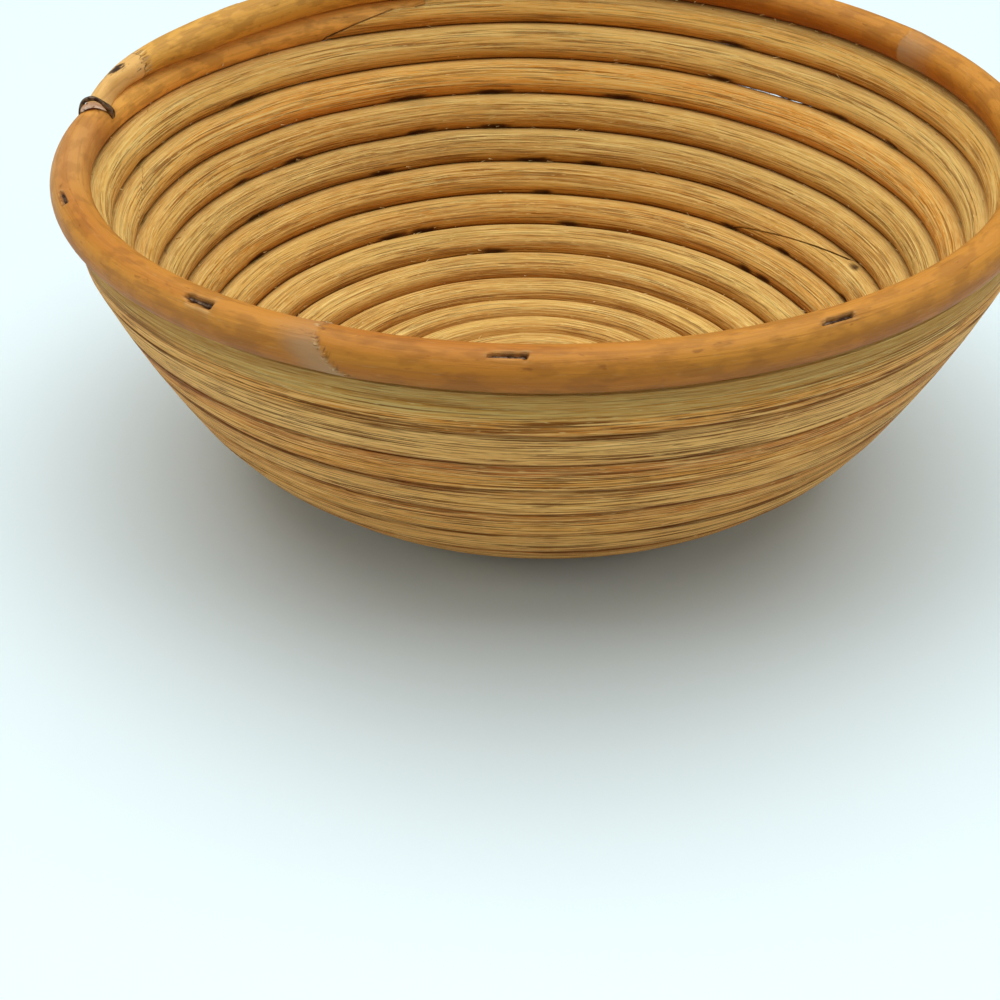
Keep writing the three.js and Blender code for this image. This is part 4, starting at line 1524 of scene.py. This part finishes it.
@dataclass(frozen=True)
class RimStaples:
    """The staples that lie sunk in the rim's slots, each with a crown and two legs."""

    half_crown: float = 3.3 * MM
    depth: float = 0.95 * MM
    leg: float = 6.0 * MM
    bend: float = 0.6 * MM
    slant: float = 0.3
    width: float = 0.6 * MM
    thickness: float = 0.75 * MM

    def build(self, rim: RimCane, finish: bpy.types.Material) -> bpy.types.Object:
        """Bends the ten wires and keeps them as one mesh.

        Args:
            rim: The rim that they hold.
            finish: The wires' material.

        Returns:
            The wires' object.
        """
        turn = RIM_STAPLES
        half = rim.half_at(turn)
        meshes = []
        for centre, out, up, reach in zip(*rim.path(turn, half), half):
            along = np.cross(out, up)
            radial = out * math.cos(SLOT_FACING) + up * math.sin(SLOT_FACING)
            top = centre + radial * (reach - self.depth)
            corners = [(-self.half_crown, drop) for drop in (-self.leg, -self.bend * 2, -self.bend)]
            corners += [(-self.half_crown + self.bend, 0.0), (-self.half_crown / 3, 0.0)]
            corners += [(-run, drop) for run, drop in corners[::-1]]
            down = up + out * self.slant
            path = np.array([top + along * run + down * drop for run, drop in corners])
            path = smoothed(path, STAPLE_STEPS)
            meshes.append(wire_skin(path, out, self.width, self.thickness))
        made = plain_object("rim_staples_seated", joined("rim_staples_seated", meshes))
        made.data.materials.append(finish)
        return made


@dataclass(frozen=True)
class BandStaple:
    """The flat wire that goes over the rim's thin end, as rows of outwards, upwards and ahead."""

    turn: float = TURNS + 0.2412
    widths: tuple[float, float] = (1.15 * MM, 2.6 * MM)
    widens: tuple[float, float] = (0.5, 0.85)
    thickness: float = 1.0 * MM
    path: tuple[tuple[float, float, float], ...] = (
        (2.0, 1.6, 1.2),
        (2.45, 3.3, 1.2),
        (2.3, 4.6, 1.1),
        (1.98, 5.6, 0.9),
        (1.35, 6.45, 0.6),
        (0.45, 6.85, 0.2),
        (-0.52, 6.89, -0.3),
        (-1.6, 6.1, -1.0),
        (-2.6, 4.95, -1.7),
        (-3.5, 3.7, -2.4),
        (-4.0, 2.4, -2.7),
        (-3.7, 1.0, -2.7),
    )

    def build(self, rim: RimCane, finish: bpy.types.Material) -> bpy.types.Object:
        """Bends the wire over the rim's end.

        Args:
            rim: The rim that it holds.
            finish: The wire's material.

        Returns:
            The wire's object.
        """
        turn = np.array([self.turn, self.turn + 0.001])
        below, ahead = rim.seated(turn - 1)
        along = (ahead - below) / np.linalg.norm(ahead - below)
        up = np.array([0.0, 0.0, 1.0])
        out = np.cross(along, up)
        out /= np.linalg.norm(out)
        bends = smoothed(np.array(self.path) * MM, ARCH_STEPS) @ np.array([out, up, along]) + below
        inwards = bends - below - along * ((bends - below) @ along)[:, None]
        width = np.interp(np.arange(len(bends)) / len(bends), self.widens, self.widths)
        skin = wire_skin(bends, inwards, width, self.thickness)
        made = plain_object("rim_band_arch", skin_of("rim_band_arch", skin))
        made.data.materials.append(finish)
        return made


def smoothed(points: np.ndarray, steps: int) -> np.ndarray:
    """Smooth row of points through a row of points.

    Args:
        points: The points that it goes through.
        steps: Points made for each stretch.

    Returns:
        The new points.
    """
    padded = np.concatenate([[2 * points[0] - points[1]], points, [2 * points[-1] - points[-2]]])
    rows = []
    for a, b, c, d in zip(padded[:-3], padded[1:-2], padded[2:-1], padded[3:]):
        square, cube = 2 * a - 5 * b + 4 * c - d, 3 * b - a - 3 * c + d
        for t in np.arange(steps) / steps:
            rows.append(0.5 * (2 * b + (c - a) * t + square * t**2 + cube * t**3))
    return np.array([*rows, points[-1]])


def skin_of(name: str, points: np.ndarray) -> bpy.types.Mesh:
    """Closed tube from a grid of rings, with a cap at each end.

    Args:
        name: The mesh's name.
        points: Rings by sides by three coordinates.

    Returns:
        The mesh, shaded smooth.
    """
    rings, sides, _ = points.shape
    index = np.arange(rings * sides).reshape(rings, sides)
    ahead = np.roll(index, -1, axis=1)
    quads = np.stack([index[:-1], index[1:], ahead[1:], ahead[:-1]], axis=-1).reshape(-1, 4)
    faces = [tuple(quad) for quad in quads.tolist()]
    faces.append(tuple(index[0].tolist()))
    faces.append(tuple(index[-1][::-1].tolist()))
    mesh = bpy.data.meshes.new(name)
    mesh.from_pydata(points.reshape(-1, 3).tolist(), [], faces)
    mesh.polygons.foreach_set("use_smooth", [True] * len(faces))
    mesh.update()
    return mesh


def joined(name: str, grids: list[np.ndarray]) -> bpy.types.Mesh:
    """One mesh of several closed tubes.

    Args:
        name: The mesh's name.
        grids: Each tube's rings by sides by three coordinates.

    Returns:
        The mesh, shaded smooth.
    """
    parts = bmesh.new()
    for grid in grids:
        single = skin_of(name, grid)
        parts.from_mesh(single)
        bpy.data.meshes.remove(single)
    mesh = bpy.data.meshes.new(name)
    parts.to_mesh(mesh)
    parts.free()
    return mesh


def signed_volume(mesh: bpy.types.Mesh) -> float:
    """Volume inside a closed mesh.

    Args:
        mesh: The mesh.

    Returns:
        The volume, negative where the mesh is inside out.
    """
    mesh.calc_loop_triangles()
    corners = np.zeros(len(mesh.loop_triangles) * 3, np.int32)
    mesh.loop_triangles.foreach_get("vertices", corners)
    a, b, c = np.moveaxis(points_of(mesh)[corners.reshape(-1, 3)], 1, 0)
    return float(np.einsum("ij,ij->i", a, np.cross(b, c)).sum() / 6)


@dataclass(frozen=True)
class Camera:
    """The photograph's camera."""

    lens: float = 53.82
    sensor: float = 36.0
    clip: tuple[float, float] = (0.01, 50.0)
    place: tuple[float, float, float] = (2.25 * MM, -343.0 * MM, 212.5 * MM)
    yaw: float = -0.0368
    pitch: float = 0.6104
    roll: float = -0.0026

    def build(self) -> None:
        """Makes the camera and gives it to the scene."""
        data = bpy.data.cameras.new("camera")
        data.lens, data.sensor_width = self.lens, self.sensor
        data.clip_start, data.clip_end = self.clip
        made = bpy.data.objects.new("camera", data)
        level = math.cos(self.pitch)
        ahead = Vector((math.sin(self.yaw) * level, math.cos(self.yaw) * level, -math.sin(self.pitch)))
        right = Vector((math.cos(self.yaw), -math.sin(self.yaw), 0))
        down = ahead.cross(right)
        turned_right = right * math.cos(self.roll) + down * math.sin(self.roll)
        turned_down = down * math.cos(self.roll) - right * math.sin(self.roll)
        turn = Matrix((turned_right, -turned_down, -ahead)).transposed().to_4x4()
        made.matrix_world = Matrix.Translation(self.place) @ turn
        bpy.context.scene.collection.objects.link(made)
        bpy.context.scene.camera = made


@dataclass(frozen=True)
class Studio:
    """Pale floor and soft light."""

    floor: str = "e3f3f7"
    drop: float = 0.2 * MM
    reach: float = 6.0
    aim: tuple[float, float, float] = (0.0, 0.0, 0.04)
    sky: tuple[float, float, float, float] = (0.84, 0.97, 1.0, 1.0)
    sky_strength: float = 0.175

    def build(self) -> None:
        """Makes the floor, the lamps and the world."""
        self.lay_floor()
        for lamp in LAMPS:
            self.hang_lamp(*lamp)
        world = bpy.data.worlds.new("studio")
        world.use_nodes = True
        background = world.node_tree.nodes["Background"]
        background.inputs["Color"].default_value = self.sky
        background.inputs["Strength"].default_value = self.sky_strength
        bpy.context.scene.world = world
        bpy.context.scene.view_settings.view_transform = "Standard"

    def lay_floor(self) -> None:
        """One large flat sheet just below the bowl."""
        mesh = bpy.data.meshes.new("floor")
        sides = ((-1, -1), (1, -1), (1, 1), (-1, 1))
        corners = [(x * self.reach, y * self.reach, -self.drop) for x, y in sides]
        mesh.from_pydata(corners, [], [(0, 1, 2, 3)])
        finish = Finish("floor_sheet")
        finish.feed(Base_Color=colour(self.floor), Roughness=0.6, Specular_IOR_Level=0.3)
        mesh.materials.append(finish.material)
        plain_object("floor", mesh)

    def hang_lamp(
        self, name: str, place: tuple[float, float, float], size: tuple[float, float], power: float
    ) -> None:
        """Adds a flat lamp that faces the bowl.

        Args:
            name: Its name.
            place: Where it hangs.
            size: Its two sides.
            power: Its power in watts.
        """
        data = bpy.data.lights.new(name, "AREA")
        data.shape, data.energy = "RECTANGLE", power
        data.size, data.size_y = size
        made = bpy.data.objects.new(name, data)
        turn = (Vector(self.aim) - Vector(place)).to_track_quat("-Z", "Y")
        made.matrix_world = Matrix.Translation(place) @ turn.to_matrix().to_4x4()
        bpy.context.scene.collection.objects.link(made)


# Each lamp's name, place, size and power.
LAMPS = (
    ("key", (0.0, 0.3, 2.2), (3.4, 2.7), 71.5),
    ("fill", (0.4, -2.0, 1.8), (1.6, 1.6), 4.0),
    ("left", (-2.4, -0.5, 1.0), (1.4, 1.4), 12.0),
    ("right", (2.4, -0.5, 1.0), (1.4, 1.4), 9.0),
)
# Dark pockets that the photograph shows: the turn, the angle beyond its start in degrees, and half the
# length in mm.
SEEN_POCKETS = (
    (14, -30.6, 4.2),
    (13, 54.7, 6.5),
    (13, 82.8, 3.4),
    (13, -29.9, 4.4),
    (13, -52.6, 4.2),
    (13, -65.2, 2.5),
    (12, 24.8, 6.1),
    (12, 9.7, 5.9),
    (12, -13.0, 5.3),
    (11, 61.9, 2.9),
    (11, 49.3, 3.5),
    (11, 23.4, 4.5),
    (11, 9.4, 4.7),
    (10, 61.6, 4.9),
    (10, 32.4, 4.4),
    (10, 2.2, 5.6),
    (10, -9.0, 3.2),
    (9, 67.0, 4.5),
    (9, 0.7, 2.6),
    (9, -40.3, 2.7),
    (9, -54.0, 2.6),
    (9, -75.2, 2.2),
    (8, 34.2, 4.4),
    (8, 27.0, 4.0),
    (8, -5.8, 3.7),
    (8, -48.6, 2.5),
    (8, -54.0, 2.6),
    (7, 12.2, 3.7),
)
# Beyond the photograph's view: turns that have more of them, and the angles that they lie between.
HIDDEN_TURNS, HIDDEN_FROM, HIDDEN_SWEEP = range(3, 15), 85, 190
HIDDEN_SHARE, HIDDEN_SPACING = 0.58, 60 * MM
# How much longer a pocket is than its dark core, and where it lies from the groove's middle.
POCKET_SPREAD, POCKET_ABOVE, POCKET_DEPTH = 1.4, 0.7 * MM, -2.6 * MM
# The hole at the first splice, sunk and painted dark as shade: turn, level and half the length in mm.
SPLICE_HOLE = (9.797, 0.38, 1.8)


def pocket_places() -> bpy.types.Object:
    """Places the pockets that staples leave in the grooves.

    Returns:
        A mesh with a vertex at each one, and half its length as span.
    """
    rng = np.random.default_rng(11)
    spots = [(turn + angle / 360, half) for turn, angle, half in SEEN_POCKETS]
    for turn in HIDDEN_TURNS:
        radius = float(WALL.at(turn * WALL.pitch)[0])
        count = max(1, round(HIDDEN_SHARE * 2 * math.pi * radius / HIDDEN_SPACING))
        spread = HIDDEN_FROM + (np.arange(count) + rng.uniform(0.1, 0.9, count)) * HIDDEN_SWEEP / count
        spots.extend(zip(turn + spread / 360, rng.uniform(2.2, 5.0, count)))
    turns, spans = np.array(spots).T
    places = np.column_stack(WALL.place(turns, WALL.pitch / 2 + POCKET_ABOVE, POCKET_DEPTH)).tolist()
    turn, level, half = SPLICE_HOLE
    places.append(WALL.place(turn, level * WALL.pitch, -SECTION.bulge(level)))
    mesh = bpy.data.meshes.new("pocket_places")
    mesh.from_pydata(places, [], [])
    keep_attribute(mesh, "span", np.array([*spans, half]) * POCKET_SPREAD * MM)
    return plain_object("pocket_places", mesh)


# The peeled canes from the floor's middle up: node, splices, rings and seed.
CANES = (
    PeeledCane("base_cane", Splice.CENTRE, Splice.FIRST, 1800, 1),
    PeeledCane("side_cane", Splice.FIRST, Splice.SECOND, 1300, 2),
    PeeledCane("upper_cane", Splice.SECOND, Splice.RIM, 850, 3),
)


def dress(piece: bpy.types.Object, slot: str, *nodes: str) -> None:
    """Gives a piece its body and hides the frame's nodes that it stands for.

    Args:
        piece: The piece.
        slot: Its material slot; not used.
        *nodes: The frame's nodes that it replaces.
    """
    if nodes:
        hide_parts(*nodes)
    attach(piece, "root")
    LOG.info("%s: %d faces, %.1f cm3", piece.name, len(piece.data.polygons), signed_volume(piece.data) * 1e6)


def main() -> None:
    """Builds the bowl, its stage and its camera."""
    logging.basicConfig(level=logging.INFO, format="%(name)s: %(message)s")
    Camera().build()
    Studio().build()
    fibre = FibreGroup()
    pockets = pocket_places()
    tree = CaneTree()
    for cane in CANES:
        finish = PeeledFinish(f"{cane.node}_peeled", seed=cane.seed * 3.3).build(fibre)
        dress(cane.build(tree, pockets, finish), "peeled_cane", cane.node)
    bpy.data.objects.remove(pockets)
    torn = grown("loose_cane_fibres", LooseFibreTree().tree, {"Finish": FibreFinish().build()})
    dress(torn, "peeled_cane")
    rim = RimCane()
    dress(rim.build(SkinFinish().build(fibre)), "rim_cane", "rim_cane")
    steel = SteelFinish().build()
    dress(RimStaples().build(rim, steel), "staple_steel", *(f"rim_staple_{k:02d}" for k in range(1, 11)))
    dress(BandStaple().build(rim, steel), "staple_steel", "rim_band_staple")
    for name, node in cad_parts.items():
        if "staple" in name or "brad" in name:
            node.data.materials.clear()
            node.data.materials.append(steel)


if __name__ == "__main__":
    main()
